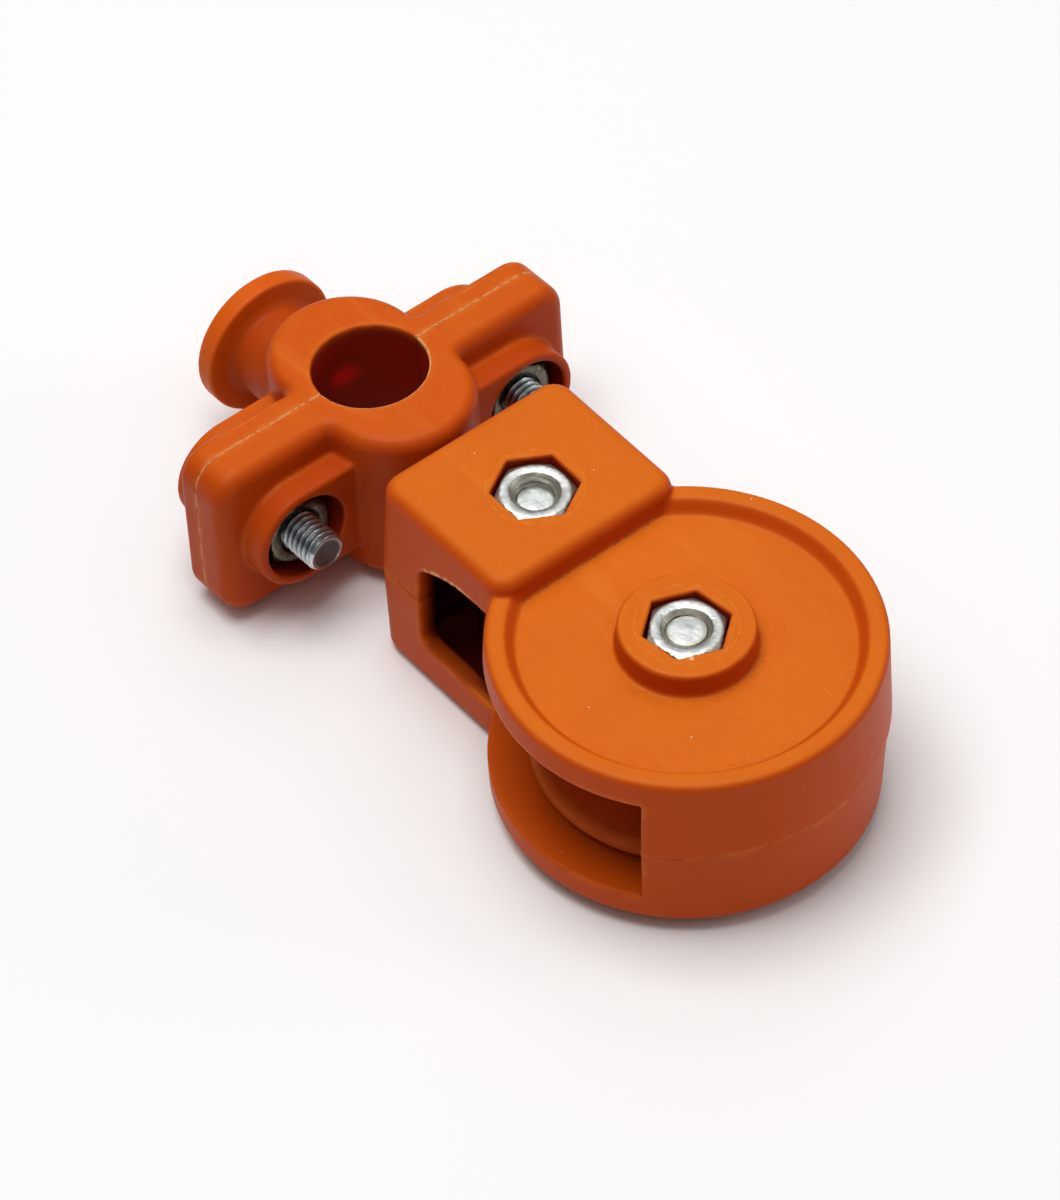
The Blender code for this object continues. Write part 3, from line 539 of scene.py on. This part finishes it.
SHELL_CELL = 0.38
for name, radius, seats, turns in (("upper_shell", SEAM_RADIUS + SEAM_LAP, NUT_SEATS, (8, -1)),
                                   ("lower_shell", SEAM_RADIUS, BOLT_HEAD_SEATS, (0, 0))):
    form = half_shell(radius, seats, turns)
    points, quads = skin(form, (-SWIVEL_TO_AXLE + HEAD_NEAR, -radius, SEAM), (radius, radius, HEAD_TOP),
                         SHELL_CELL)
    lower = name == "lower_shell"
    place = points * (1, -1, -1) if lower else points
    shell = smooth_object(name + "_skin", place + AXLE, quads)
    store_wear_dust_and_shade(shell, form, points)
    shell.data.materials.append(shell_finish(name + "_plastic", lower))
    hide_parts(name)
    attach(shell, "housing")


# Sheave: a wheel moulded in the same plastic, a little deeper in colour. Its two flanges end in
# round beads with the rope groove between them, and it runs on the shells' hubs.
SHEAVE_RADIUS, SHEAVE_HALF, SHEAVE_BORE, BORE_CHAMFER = 21.3, 8.8, 7.3, 0.3
GROOVE_ROOT, ROPE_RADIUS, GROOVE_FLANK, FLANGE_ROUND = 12.5, 4.2, math.radians(15), 1.8
WEB_NEAR, WEB_FAR, WEB_SUNK = (9.5, 10.1), (17.0, 18.2), (0.5, 0.6)
SHEAVE_AROUND, SHEAVE_ORANGE = 180, (0.50, 0.075, 0.006)


def bend(centre, radius, start, end, steps):
    """Points of an arc about a centre, from start to end in degrees."""
    t = np.radians(np.linspace(start, end, steps))
    return np.stack([centre[0] + radius * np.cos(t), centre[1] + radius * np.sin(t)], axis=1)


def revolved(profile, around):
    """Turn a closed profile of (radius, height) about Z: x = r cos t, y = r sin t, z = h."""
    t = np.linspace(0, 2 * math.pi, around, endpoint=False)
    r, h = profile[:, 0][:, None], profile[:, 1][:, None]
    points = np.stack([r * np.cos(t), r * np.sin(t), h + 0 * t], axis=2).reshape(-1, 3)
    return points, woven(len(profile), around, True)


def woven(rows, around, closed):
    """Quads of a grid that wraps round, and from its last row to its first where closed."""
    row = np.arange(rows if closed else rows - 1)[:, None]
    column = np.arange(around)[None, :]
    follow = (row + 1) % rows
    beside = (column + 1) % around
    return np.stack([row * around + column, follow * around + column, follow * around + beside,
                     row * around + beside], axis=2).reshape(-1, 4)


flank_turn = 90 - math.degrees(GROOVE_FLANK)
root = bend((GROOVE_ROOT + ROPE_RADIUS, 0.0), ROPE_RADIUS, 180 - flank_turn, 180, 14)
bead_at = (SHEAVE_RADIUS - FLANGE_ROUND, SHEAVE_HALF - FLANGE_ROUND)
outer = np.concatenate([
    [(SHEAVE_BORE, SHEAVE_HALF - BORE_CHAMFER), (SHEAVE_BORE + BORE_CHAMFER, SHEAVE_HALF),
     (WEB_NEAR[0], SHEAVE_HALF), (WEB_NEAR[1], SHEAVE_HALF - WEB_SUNK[0]),
     (WEB_FAR[0], SHEAVE_HALF - WEB_SUNK[1]), (WEB_FAR[1], SHEAVE_HALF)],
    bend(bead_at, FLANGE_ROUND, 90, -flank_turn, 20),
    root])
half_profile = np.concatenate([outer, (outer * (1, -1))[-2::-1]])
points, quads = revolved(half_profile[::-1], SHEAVE_AROUND)
sheave = smooth_object("sheave_turned", points + AXLE, quads, sharp=40)
wheel = orange_plastic("sheave_plastic", colour=SHEAVE_ORANGE, origin=AXLE)
reach = wheel.around(wheel.along("X"), wheel.along("Y"))
wheel.mark(reach.near(GROOVE_ROOT + 1, 1.0, 2.0) * wheel.noise(2.2, 3, shift=1.1).over(0.35, 0.7) * 0.5,
           colour=ORANGE_DEEP, rough=0.30)
sheave.data.materials.append(wheel.done())
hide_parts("sheave")
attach(sheave, "wheel")


# Rod clamp: two mouldings of the same plastic close round a rod. Each has a flat plate with a boss for
# each bolt; the front half carries the tongue that swivels in the head, the back half a round knob.
# Places are from the parting plane, across the middle of the rod's bore.
DROOP = math.radians(3.5)
BORE_TO_SWIVEL, BORE_RADIUS, BORE_EDGE, TAKE_UP = 35.2, 8.3, 0.35, 0.5
BODY_HALF_WIDTH, BODY_FRONT, BODY_BACK, BODY_EDGE = 11.1, 17.2, 16.3, 2.2
CLAMP_HALF_HEIGHT, WING_HALF_SPAN, WING_CORNER, WING_FILLET = 12.9, 30.5, 4.5, 1.2
FRONT_WING, FRONT_EDGE, BACK_WING, BACK_EDGE = 5.5, 2.4, 3.9, 1.4
EDGE_CHANGE, EDGE_CHANGE_RUN = 16.0, 5.0
TIE_Y, LUG_START, LUG_RADIUS, FRONT_LUG, BACK_LUG = 19.5, 9.0, 7.9, 9.8, 9.4
LUG_EDGE, LUG_FILLET = 0.6, 0.7
NUT_WELL, NUT_FLOOR, WELL_FOOT, WELL_EDGE = 6.5, 3.0, 0.4, 0.45
HEAD_FLOOR, HEAD_POCKET_TURN, HEAD_POCKET_EDGE = 5.5, 30, 0.35
TONGUE_HALF, TONGUE_HALF_WIDTH, TONGUE_START, TONGUE_EDGE, TONGUE_FILLET = 4.0, 5.5, 12.0, 0.5, 1.2
EYE_RADIUS, EYE_HOLE, EYE_FILLET, EYE_EDGE = 7.0, 3.44, 1.5, 0.3
NECK_RADIUS, NECK_EDGE, NECK_OVERLAP, NECK_FILLET = 6.8, 0.2, 1.0, 1.3
DISC_FACE, KNOB_FACE, KNOB_RADIUS, KNOB_ROUND = 23.4, 26.4, 10.6, 0.4
KNOB_START, KNOB_FILLET = 12.0, 1.2


def clamp_outside(x, y, z, plate, plate_edge):
    """The body and plates of both halves, where x runs out from the parting plane."""
    near, far = BODY_HALF_WIDTH - BODY_BACK, BODY_FRONT - BODY_HALF_WIDTH
    body = np.hypot(x - np.clip(x, near, far), y) - BODY_HALF_WIDTH
    towards_body = soft_step((EDGE_CHANGE - np.abs(y)) / EDGE_CHANGE_RUN)
    edge = plate_edge + (BODY_EDGE - plate_edge) * towards_body
    outline = rounded_rectangle(y, z, WING_HALF_SPAN, CLAMP_HALF_HEIGHT, WING_CORNER)
    return common(joined(body, plate, WING_FILLET), outline, edge)


def tie_lug(x, y, z, face):
    """A bolt's boss on each side: a round end and a flat top and bottom that run into the body."""
    across = np.hypot(np.maximum(np.abs(y) - TIE_Y, 0), z) - LUG_RADIUS
    return np.maximum(common(across, x - face, LUG_EDGE), LUG_START - np.abs(y))


def clamp_front(x, y, z):
    """The front half, x from the parting plane to the swivel: body, lugs and tongue less the holes."""
    solid = clamp_outside(x, y, z, x - FRONT_WING, FRONT_EDGE)
    solid = joined(solid, tie_lug(x, y, z, FRONT_LUG), LUG_FILLET)
    eye_at = x - BORE_TO_SWIVEL
    arm = np.maximum(np.abs(y) - TONGUE_HALF_WIDTH, np.maximum(eye_at, TONGUE_START - x))
    tongue = joined(arm, np.hypot(eye_at, y) - EYE_RADIUS, EYE_FILLET)
    solid = joined(solid, common(tongue, np.abs(z) - TONGUE_HALF, TONGUE_EDGE), TONGUE_FILLET)
    solid = without(solid, np.hypot(eye_at, y) - EYE_HOLE, EYE_EDGE)
    solid = without(solid, np.hypot(x, y) - BORE_RADIUS, BORE_EDGE)
    tie = np.hypot(np.abs(y) - TIE_Y, z)
    solid = without(solid, tie - BOLT_HOLE, HOLE_EDGE)
    solid = without(solid, common(tie - NUT_WELL, NUT_FLOOR - x, WELL_FOOT), WELL_EDGE)
    return common(solid, SEAM - x, SEAM_EDGE)


def clamp_back(x, y, z):
    """The back half, x out behind the parting plane as negative numbers: body, lugs, neck and knob
    less the holes."""
    solid = clamp_outside(x, y, z, -x - BACK_WING, BACK_EDGE)
    solid = joined(solid, tie_lug(-x, y, z, BACK_LUG), LUG_FILLET)
    out = np.hypot(y, z)
    neck = common(out - NECK_RADIUS, -x - DISC_FACE - NECK_OVERLAP, NECK_EDGE)
    middle = (DISC_FACE + KNOB_FACE) / 2
    disc = common(out - KNOB_RADIUS, np.abs(-x - middle) - (KNOB_FACE - DISC_FACE) / 2, KNOB_ROUND)
    knob = np.maximum(joined(neck, disc, NECK_FILLET), x + KNOB_START)
    solid = joined(solid, knob, KNOB_FILLET)
    solid = without(solid, np.hypot(x - TAKE_UP, y) - BORE_RADIUS, BORE_EDGE)
    side = np.abs(y) - TIE_Y
    solid = without(solid, np.hypot(side, z) - BOLT_HOLE, HOLE_EDGE)
    pocket = hexagon(side, z, POCKET_FLATS, math.radians(HEAD_POCKET_TURN))
    solid = without(solid, common(pocket, HEAD_FLOOR + x, POCKET_FOOT), HEAD_POCKET_EDGE)
    return common(solid, SEAM + x, SEAM_EDGE)


def hung(points):
    """From the clamp's own frame about its bore to the world: turned down by the droop at the swivel."""
    x, z = points[:, 0] - BORE_TO_SWIVEL, points[:, 2]
    return np.stack([SWIVEL[0] + x * math.cos(DROOP) - z * math.sin(DROOP), points[:, 1],
                     SWIVEL[2] + x * math.sin(DROOP) + z * math.cos(DROOP)], axis=1)


BORE_AT = hung(np.zeros((1, 3)))[0]
# Painted shade for the clamp's sides, neck, lugs, nut wells and bore; the knob's lighter orange is painted
# light and the bore's glow a painted glow.
CLAMP_ORANGE, CLAMP_SIDE_SHADE = (0.58, 0.090, 0.0050), (0.46, 0.055, 0.0035)
KNOB_LIT_ORANGE, NECK_SHADE = (0.66, 0.105, 0.0070), (0.36, 0.040, 0.0030)
LUG_SHADE, WELL_SHADE = (0.44, 0.052, 0.0030), (0.26, 0.018, 0.003)
BORE_SHADE, BORE_PAINTED_GLOW, PAINTED_GLOW_AT = (0.33, 0.015, 0.004), (0.90, 0.012, 0.004), (1.0, 4.5)
SECOND_LINE = -2.55


def clamp_finish(name):
    """Orange plastic with the flash along the parting line and round the front of the bore, painted shade
    on the sides, neck, lugs, nut wells and bore, a painted lighter knob and a painted glow in the bore.
    """
    finish = orange_plastic(name, colour=CLAMP_ORANGE, side=CLAMP_SIDE_SHADE, origin=BORE_AT, lean=-DROOP)
    x, y, z = (finish.along(axis) for axis in "XYZ")
    ragged = finish.noise(0.9, 3, shift=2.2).over(0.34, 0.56)

    # Painted light: the knob is given a lighter orange than the rest of its moulding.
    finish.mark(x.under(-18, -14) * 0.8, colour=KNOB_LIT_ORANGE)
    neck = finish.around(y, z).under(7.4, 9.4) * x.under(-16, -14.5)
    finish.mark(neck * x.over(-DISC_FACE - 0.2, -DISC_FACE + 0.4) * 0.75, colour=NECK_SHADE)
    lug = finish.around(abs(y).most(TIE_Y) - TIE_Y, z).under(LUG_RADIUS + 0.1, LUG_RADIUS + 0.6)
    lug = lug * abs(y).over(LUG_START, LUG_START + 3)
    finish.mark(lug * x.over(FRONT_WING - 0.4, FRONT_WING + 1.6), colour=LUG_SHADE)

    line = x.near(0.0, 0.06 + ragged * 0.08, 0.12)
    line = line * finish.around(x, y).over(BORE_RADIUS + 0.05, BORE_RADIUS + 0.2)
    finish.mark(line * (0.12 + ragged * 0.42), colour=FLASH, rough=0.5, height=0.03)
    rim = finish.around(x, y).near(BORE_RADIUS + 0.12, 0.10, 0.14) * x.over(-0.5, 0.2)
    rim = rim * z.over(CLAMP_HALF_HEIGHT - 0.6, CLAMP_HALF_HEIGHT - 0.3)
    finish.mark(rim * finish.noise(1.1, 3, shift=4.2).over(0.30, 0.50) * 0.7, colour=FLASH, rough=0.5)
    second = x.near(SECOND_LINE, 0.05, 0.18) * abs(y).over(13, 16)
    second = second * z.over(CLAMP_HALF_HEIGHT - 0.7, CLAMP_HALF_HEIGHT - 0.4)
    finish.mark(second * finish.noise(3, 2, shift=3.2).over(0.42, 0.60) * 0.5, colour=ORANGE_PALE)

    # Painted shade: the bore's wall is given a dark red.
    bore = finish.around(x, y).under(BORE_RADIUS + 0.1, BORE_RADIUS + 0.3)
    bore = bore * z.under(CLAMP_HALF_HEIGHT - 1.9, CLAMP_HALF_HEIGHT - 0.3)
    finish.mark(bore, colour=BORE_SHADE, rough=0.45)
    # Painted glow: a bright red patch on the back half of the bore's wall stands for light through the
    # plastic.
    painted_glow = finish.around(y - PAINTED_GLOW_AT[0], (z - PAINTED_GLOW_AT[1]) * 1.2).under(0.6, 3.2) * x.under(-6, -5)
    finish.mark(bore * painted_glow * 0.8, colour=BORE_PAINTED_GLOW)
    well = finish.around(abs(y) - TIE_Y, z).under(NUT_WELL, NUT_WELL + 0.3)
    well = well * x.over(1, 2) * x.under(FRONT_LUG - 0.5, FRONT_LUG)
    finish.mark(well, colour=WELL_SHADE, rough=0.5)
    return finish.done()


CLAMP_CELL = 0.35
half_high = (WING_HALF_SPAN, CLAMP_HALF_HEIGHT)
for name, form, low, high in (
        ("clamp_front", clamp_front, SEAM, BORE_TO_SWIVEL + EYE_RADIUS),
        ("clamp_back", clamp_back, -KNOB_FACE, -SEAM)):
    points, quads = skin(form, (low, -half_high[0], -half_high[1]), (high, *half_high), CLAMP_CELL)
    half = smooth_object(name + "_skin", hung(points), quads)
    store_wear_dust_and_shade(half, form, points)
    half.data.materials.append(clamp_finish(name + "_plastic"))
    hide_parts(name)
    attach(half, "clamp_head")


# Bolts and nuts: M6 in bright zinc plate. The bolts have rolled threads and hexagon heads; the nuts are
# chamfered at both faces, with a countersunk, threaded bore. Two bolts join the shells, two the clamp.
THREAD_CREST, THREAD_ROOT, THREAD_PITCH = 2.95, 2.40, 1.0
FLANK_STEEPNESS, CREST_FLAT = 2.6, 0.20
NUT_FLATS, NUT_HEIGHT, BOLT_HEAD_HEIGHT = 10.0, 5.0, 4.0
HEX_CHAMFER, HEX_CONE = 0.22, math.radians(30)
TIP_SLOPE, HEAD_DISH_RADIUS, HEAD_DISH = 1.1, 3.6, 0.2
NUT_CREST_GAP, NUT_ROOT_GAP, SINK_RADIUS, NUT_FACE = 0.12, 0.22, 3.6, 4.45
BOLT_AROUND, NUT_AROUND, POLE = 48, 96, 0.001


def thread(turn, height, crest, root):
    """The radius of a screw thread: a wave of one pitch that climbs once round, flat on top."""
    phase = (height / THREAD_PITCH - turn / (2 * math.pi)) % 1.0
    wave = np.clip(np.abs(phase - 0.5) * FLANK_STEEPNESS - CREST_FLAT, 0, 1)
    return crest - (crest - root) * wave


def hexagon_reach(turn, flats, corner_turn):
    """How far a hexagon reaches in a direction: half its flats over the cosine off the nearest flat."""
    off = (turn - corner_turn) % (math.pi / 3) - math.pi / 6
    return flats / 2 / np.cos(off)


def hex_rows(turn, low, high, corner_turn, steps=6):
    """Rows up a hexagon's side: its reach, cut by a 30 degree cone at each face."""
    face = NUT_FLATS / 2 - HEX_CHAMFER
    drop = (NUT_FLATS / math.sqrt(3) - face) * math.tan(HEX_CONE)
    share = np.linspace(0, 1, steps)
    heights = np.concatenate([low + drop * share, high - drop * share[::-1]])
    from_face = np.minimum(heights - low, high - heights)[:, None]
    cone = face + from_face / math.tan(HEX_CONE)
    return np.minimum(hexagon_reach(turn, NUT_FLATS, corner_turn), cone), heights


def stacked(rows, turn):
    """Points of rows of (radius, height), where either may change round the turn."""
    radius = np.stack([np.broadcast_to(r, turn.shape) for r, _ in rows])
    height = np.stack([np.broadcast_to(h, turn.shape) for _, h in rows])
    return np.stack([radius * np.cos(turn), radius * np.sin(turn), height], axis=2).reshape(-1, 3)


def hex_bolt(head_seat, end, corner_turn, dish, tip_radius):
    """A bolt along Z: thread from its tip down, then its head; a chamfer cone trims the tip."""
    turn = corner_turn + np.linspace(0, 2 * math.pi, BOLT_AROUND, endpoint=False)
    heights = np.arange(end, head_seat, -THREAD_PITCH / 10)
    tip = tip_radius + (end - heights)[:, None] * TIP_SLOPE
    radius = np.minimum(thread(turn, heights[:, None], THREAD_CREST, THREAD_ROOT), tip)
    rows = [(tip_radius * share, end + dish * (1 - share ** 2)) for share in (POLE, 0.3, 0.6, 0.8, 0.93)]
    rows += [(r, h) for r, h in zip(radius, heights)]
    head_face = head_seat - BOLT_HEAD_HEIGHT
    reach, levels = hex_rows(turn, head_face, head_seat, corner_turn)
    rows += [(THREAD_CREST, head_seat)] + [(r, h) for r, h in zip(reach[::-1], levels[::-1])]
    rows += [(HEAD_DISH_RADIUS, head_face), (HEAD_DISH_RADIUS - 0.3, head_face + 0.75 * HEAD_DISH),
             (POLE, head_face + HEAD_DISH)]
    return stacked(rows, turn), woven(len(rows), BOLT_AROUND, False)


def hex_nut(seat, corner_turn):
    """A nut along Z: its threaded bore, countersinks, faces and chamfered side as one closed ring."""
    turn = corner_turn + np.linspace(0, 2 * math.pi, NUT_AROUND, endpoint=False)
    top = seat + NUT_HEIGHT
    heights = np.arange(seat + 0.05, top, THREAD_PITCH / 8)
    bore = thread(turn, heights[:, None], THREAD_CREST + NUT_CREST_GAP, THREAD_ROOT + NUT_ROOT_GAP)
    sink = SINK_RADIUS - 0.05 - np.minimum(heights - seat, top - heights)[:, None]
    rows = [(r, h) for r, h in zip(np.maximum(bore, sink), heights)]
    reach, levels = hex_rows(turn, seat, top, corner_turn)
    rows += [(SINK_RADIUS, top), (NUT_FACE, top)] + [(r, h) for r, h in zip(reach[::-1], levels[::-1])]
    rows += [(NUT_FACE, seat), (SINK_RADIUS, seat)]
    return stacked(rows, turn), woven(len(rows), NUT_AROUND, True)


def outward(points, quads):
    """Quads with their faces turned outwards: the volume that they enclose has to be positive."""
    a, b, c, d = (points[quads[:, i]] for i in range(4))
    volume = (np.einsum("ij,ij->i", a, np.cross(b, c)) + np.einsum("ij,ij->i", a, np.cross(c, d))).sum()
    return quads if volume > 0 else quads[:, ::-1]


# Valley colours are partly dirt and partly painted shade; the clamp bolts' near-black valleys are painted
# shade.
ZINC, ZINC_VALLEY = (0.72, 0.75, 0.73), (0.46, 0.45, 0.37)
ZINC_WORN, ZINC_WORN_VALLEY_SHADE = (0.62, 0.68, 0.71), (0.03, 0.03, 0.03)
# Painted shade: the clamp nuts' zinc is a darker, shaded copy of the plate.
ZINC_SHADED, ZINC_SHADED_VALLEY = (0.14, 0.13, 0.095), (0.04, 0.03, 0.02)
DULL_SHARE, STAIN, SPOT = 0.66, (0.46, 0.44, 0.38), (0.24, 0.21, 0.19)


def zinc_finish(name, colour, valley):
    """Zinc plate: fine tool marks, small stains and dull spots, and a darker grey in thread valleys and
    recesses, partly dirt and partly painted shade.
    """
    finish = Finish(name, colour, 0.27, Metallic=1.0)
    shade = tuple(DULL_SHARE * value for value in colour)
    finish.mark(finish.noise(1.9, 3).over(0.36, 0.66) * 0.8, colour=shade, rough=0.42)
    finish.mark(finish.noise(0.7, 2, shift=3.0).over(0.62, 0.72) * 0.5, colour=STAIN, rough=0.5)
    finish.mark(finish.noise(0.8, 3, stretch=(3, 3, 0.3), shift=1.0).over(0.35, 0.7) * 0.5, rough=0.36,
                height=0.012)
    finish.height = finish.height + finish.noise(1.5, 1, shift=4.0) * 0.10
    finish.height = finish.height + finish.noise(0.45, 2, shift=5.0) * 0.035
    finish.mark(finish.specks(1.3, 0.22, 0.15), colour=SPOT, rough=0.6)
    # Darker along the groove attribute: partly dirt and partly painted shade in thread valleys, painted
    # shade on countersinks, sunk bolt ends and nut chamfers.
    finish.mark(finish.attribute("groove"), colour=valley, rough=0.5)
    return finish.done()


zinc = zinc_finish("zinc_bright", ZINC, ZINC_VALLEY)
zinc_worn = zinc_finish("zinc_worn", ZINC_WORN, ZINC_WORN_VALLEY_SHADE)
zinc_dull = zinc_finish("zinc_dull", ZINC_SHADED, ZINC_SHADED_VALLEY)


def fastener(node, points, groove, quads, material, body):
    """Put a bolt or nut in place of its node, with the depth of its thread stored at each point."""
    thing = smooth_object(node + "_plated", points, outward(points, quads), sharp=36)
    layer = thing.data.attributes.new("groove", "FLOAT", "POINT")
    layer.data.foreach_set("value", groove.astype(np.float32))
    thing.data.materials.append(material)
    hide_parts(node)
    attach(thing, body)


def depth_of_thread(points, low, high, darker_end=False):
    """1 in the thread's valleys, 0 on its crests, and 0.9 on its tip's chamfer or 0.8 on a sunk end."""
    radius = np.hypot(points[:, 0], points[:, 1])
    between = (points[:, 2] > low) & (points[:, 2] < high)
    depth = np.clip((THREAD_CREST - radius) / (THREAD_CREST - THREAD_ROOT), 0, 1) * between
    sunk = (points[:, 2] > high - 0.6) & (radius < THREAD_ROOT - 0.1)
    chamfer = (points[:, 2] > high) & (radius > THREAD_ROOT) & (not darker_end)
    return np.where(darker_end & sunk, 0.8, np.maximum(depth, 0.9 * chamfer))


def depth_in_nut(points):
    """1 in the valleys of a nut's thread and on its countersink, 0 on crests; 0.55 at outer chamfers."""
    radius = np.hypot(points[:, 0], points[:, 1])
    crest = THREAD_ROOT + NUT_ROOT_GAP
    wall = np.minimum((radius - crest) / 0.25 + 0.2, (SINK_RADIUS + 0.15 - radius) / 0.6)
    from_face = np.minimum(points[:, 2] - points[:, 2].min(), points[:, 2].max() - points[:, 2])
    chamfer = np.clip((radius - NUT_FACE - 0.15) / 0.3, 0, 1) * (from_face < 0.7) * 0.55
    return np.maximum(np.clip(wall, 0, 1), chamfer)


for name, at, seat, head_seat, sunk, dome, nut_turn in (
        ("axle", AXLE, NUT_SEATS[0], BOLT_HEAD_SEATS[0], 0.4, 0.16, 12),
        ("swivel", SWIVEL, NUT_SEATS[1], BOLT_HEAD_SEATS[1], 1.5, 0.20, 0)):
    end = seat + NUT_HEIGHT - sunk - dome
    points, quads = hex_bolt(-head_seat, end, 0.0, dome, tip_radius=2.65)
    fastener(name + "_bolt", points + at, depth_of_thread(points, -head_seat, end - 0.4), quads, zinc,
             "housing")
    points, quads = hex_nut(seat, math.radians(nut_turn))
    fastener(name + "_nut", points + at, depth_in_nut(points), quads, zinc, "housing")

CLAMP_HEAD_SEAT, CLAMP_NUT_SUNK, CLAMP_BOLT_PAST_LUG = HEAD_FLOOR + SEAT_GAP, 1.5, 4.3
clamp_end = FRONT_LUG + CLAMP_BOLT_PAST_LUG
clamp_bolt = hex_bolt(-CLAMP_HEAD_SEAT, clamp_end, 0.0, dish=-0.25, tip_radius=2.55)
clamp_nut = hex_nut(FRONT_LUG - CLAMP_NUT_SUNK - NUT_HEIGHT, math.radians(4))
for side, name in ((-1, "left"), (1, "right")):
    for kind, material, (points, quads) in (("bolt", zinc_worn, clamp_bolt),
                                            ("nut", zinc_dull, clamp_nut)):
        groove = depth_of_thread(points, 0, clamp_end - 0.5, kind == "bolt")
        lying = np.stack([points[:, 2], points[:, 1] + side * TIE_Y, -points[:, 0]], axis=1)
        fastener(f"clamp_{kind}_{name}", hung(lying), groove, quads, material, "clamp_head")


# Studio: a plain pale floor and soft light. The strongest lamp hangs nearly overhead, a little to the
# clamp's side, so the tops are bright and the sides that face the camera are in soft shade.
FLOOR_HALF = 1500.0
FLOOR_PALE, FLOOR_CLOUD = (0.89, 0.89, 0.895), (0.87, 0.87, 0.875)
SKY_LOW, SKY_HIGH, SKY_FROM, SKY_TO, SKY_STRENGTH = 0.05, 1.0, 0.45, 0.85, 0.60
floor = smooth_object("floor", [(-FLOOR_HALF, -FLOOR_HALF, 0), (FLOOR_HALF, -FLOOR_HALF, 0),
                                (FLOOR_HALF, FLOOR_HALF, 0), (-FLOOR_HALF, FLOOR_HALF, 0)], [(0, 1, 2, 3)])
pale = Finish("floor_pale", FLOOR_PALE, 0.8)
pale.mark(pale.noise(60, 2) * 0.2, colour=FLOOR_CLOUD)
floor.data.materials.append(pale.done())


def lamp(name, at, size, power, colour=(1, 1, 1)):
    """A square soft lamp at a place in metres, aimed at the pulley's middle."""
    light = bpy.data.lights.new(name, "AREA")
    light.shape = "SQUARE"
    light.size = size
    light.energy = power
    light.color = colour
    thing = bpy.data.objects.new(name, light)
    aim = Vector((0.0, 0.0, 0.015)) - Vector(at)
    thing.matrix_world = Matrix.Translation(at) @ aim.to_track_quat("-Z", "Y").to_matrix().to_4x4()
    bpy.context.scene.collection.objects.link(thing)


lamp("key", (-0.14, -0.12, 1.2), 0.75, 11.0, (1.0, 0.99, 0.97))
lamp("side", (0.65, 0.95, 0.40), 0.5, 2.0, (1.0, 0.98, 0.95))
lamp("back_card", (-0.76, 0.62, 1.0), 0.8, 1.4)

world = bpy.data.worlds.new("studio")
bpy.context.scene.world = world
world.use_nodes = True
tree = world.node_tree
place = tree.nodes.new("ShaderNodeTexCoord")
split = tree.nodes.new("ShaderNodeSeparateXYZ")
ramp = tree.nodes.new("ShaderNodeValToRGB")
tree.links.new(place.outputs["Generated"], split.inputs[0])
tree.links.new(split.outputs["Z"], ramp.inputs[0])
for stop, position, grey in zip(ramp.color_ramp.elements, (SKY_FROM, SKY_TO), (SKY_LOW, SKY_HIGH)):
    stop.position = position
    stop.color = (grey, grey, grey, 1)
tree.links.new(ramp.outputs[0], tree.nodes["Background"].inputs[0])
tree.nodes["Background"].inputs[1].default_value = SKY_STRENGTH
bpy.context.scene.view_settings.view_transform = "Standard"
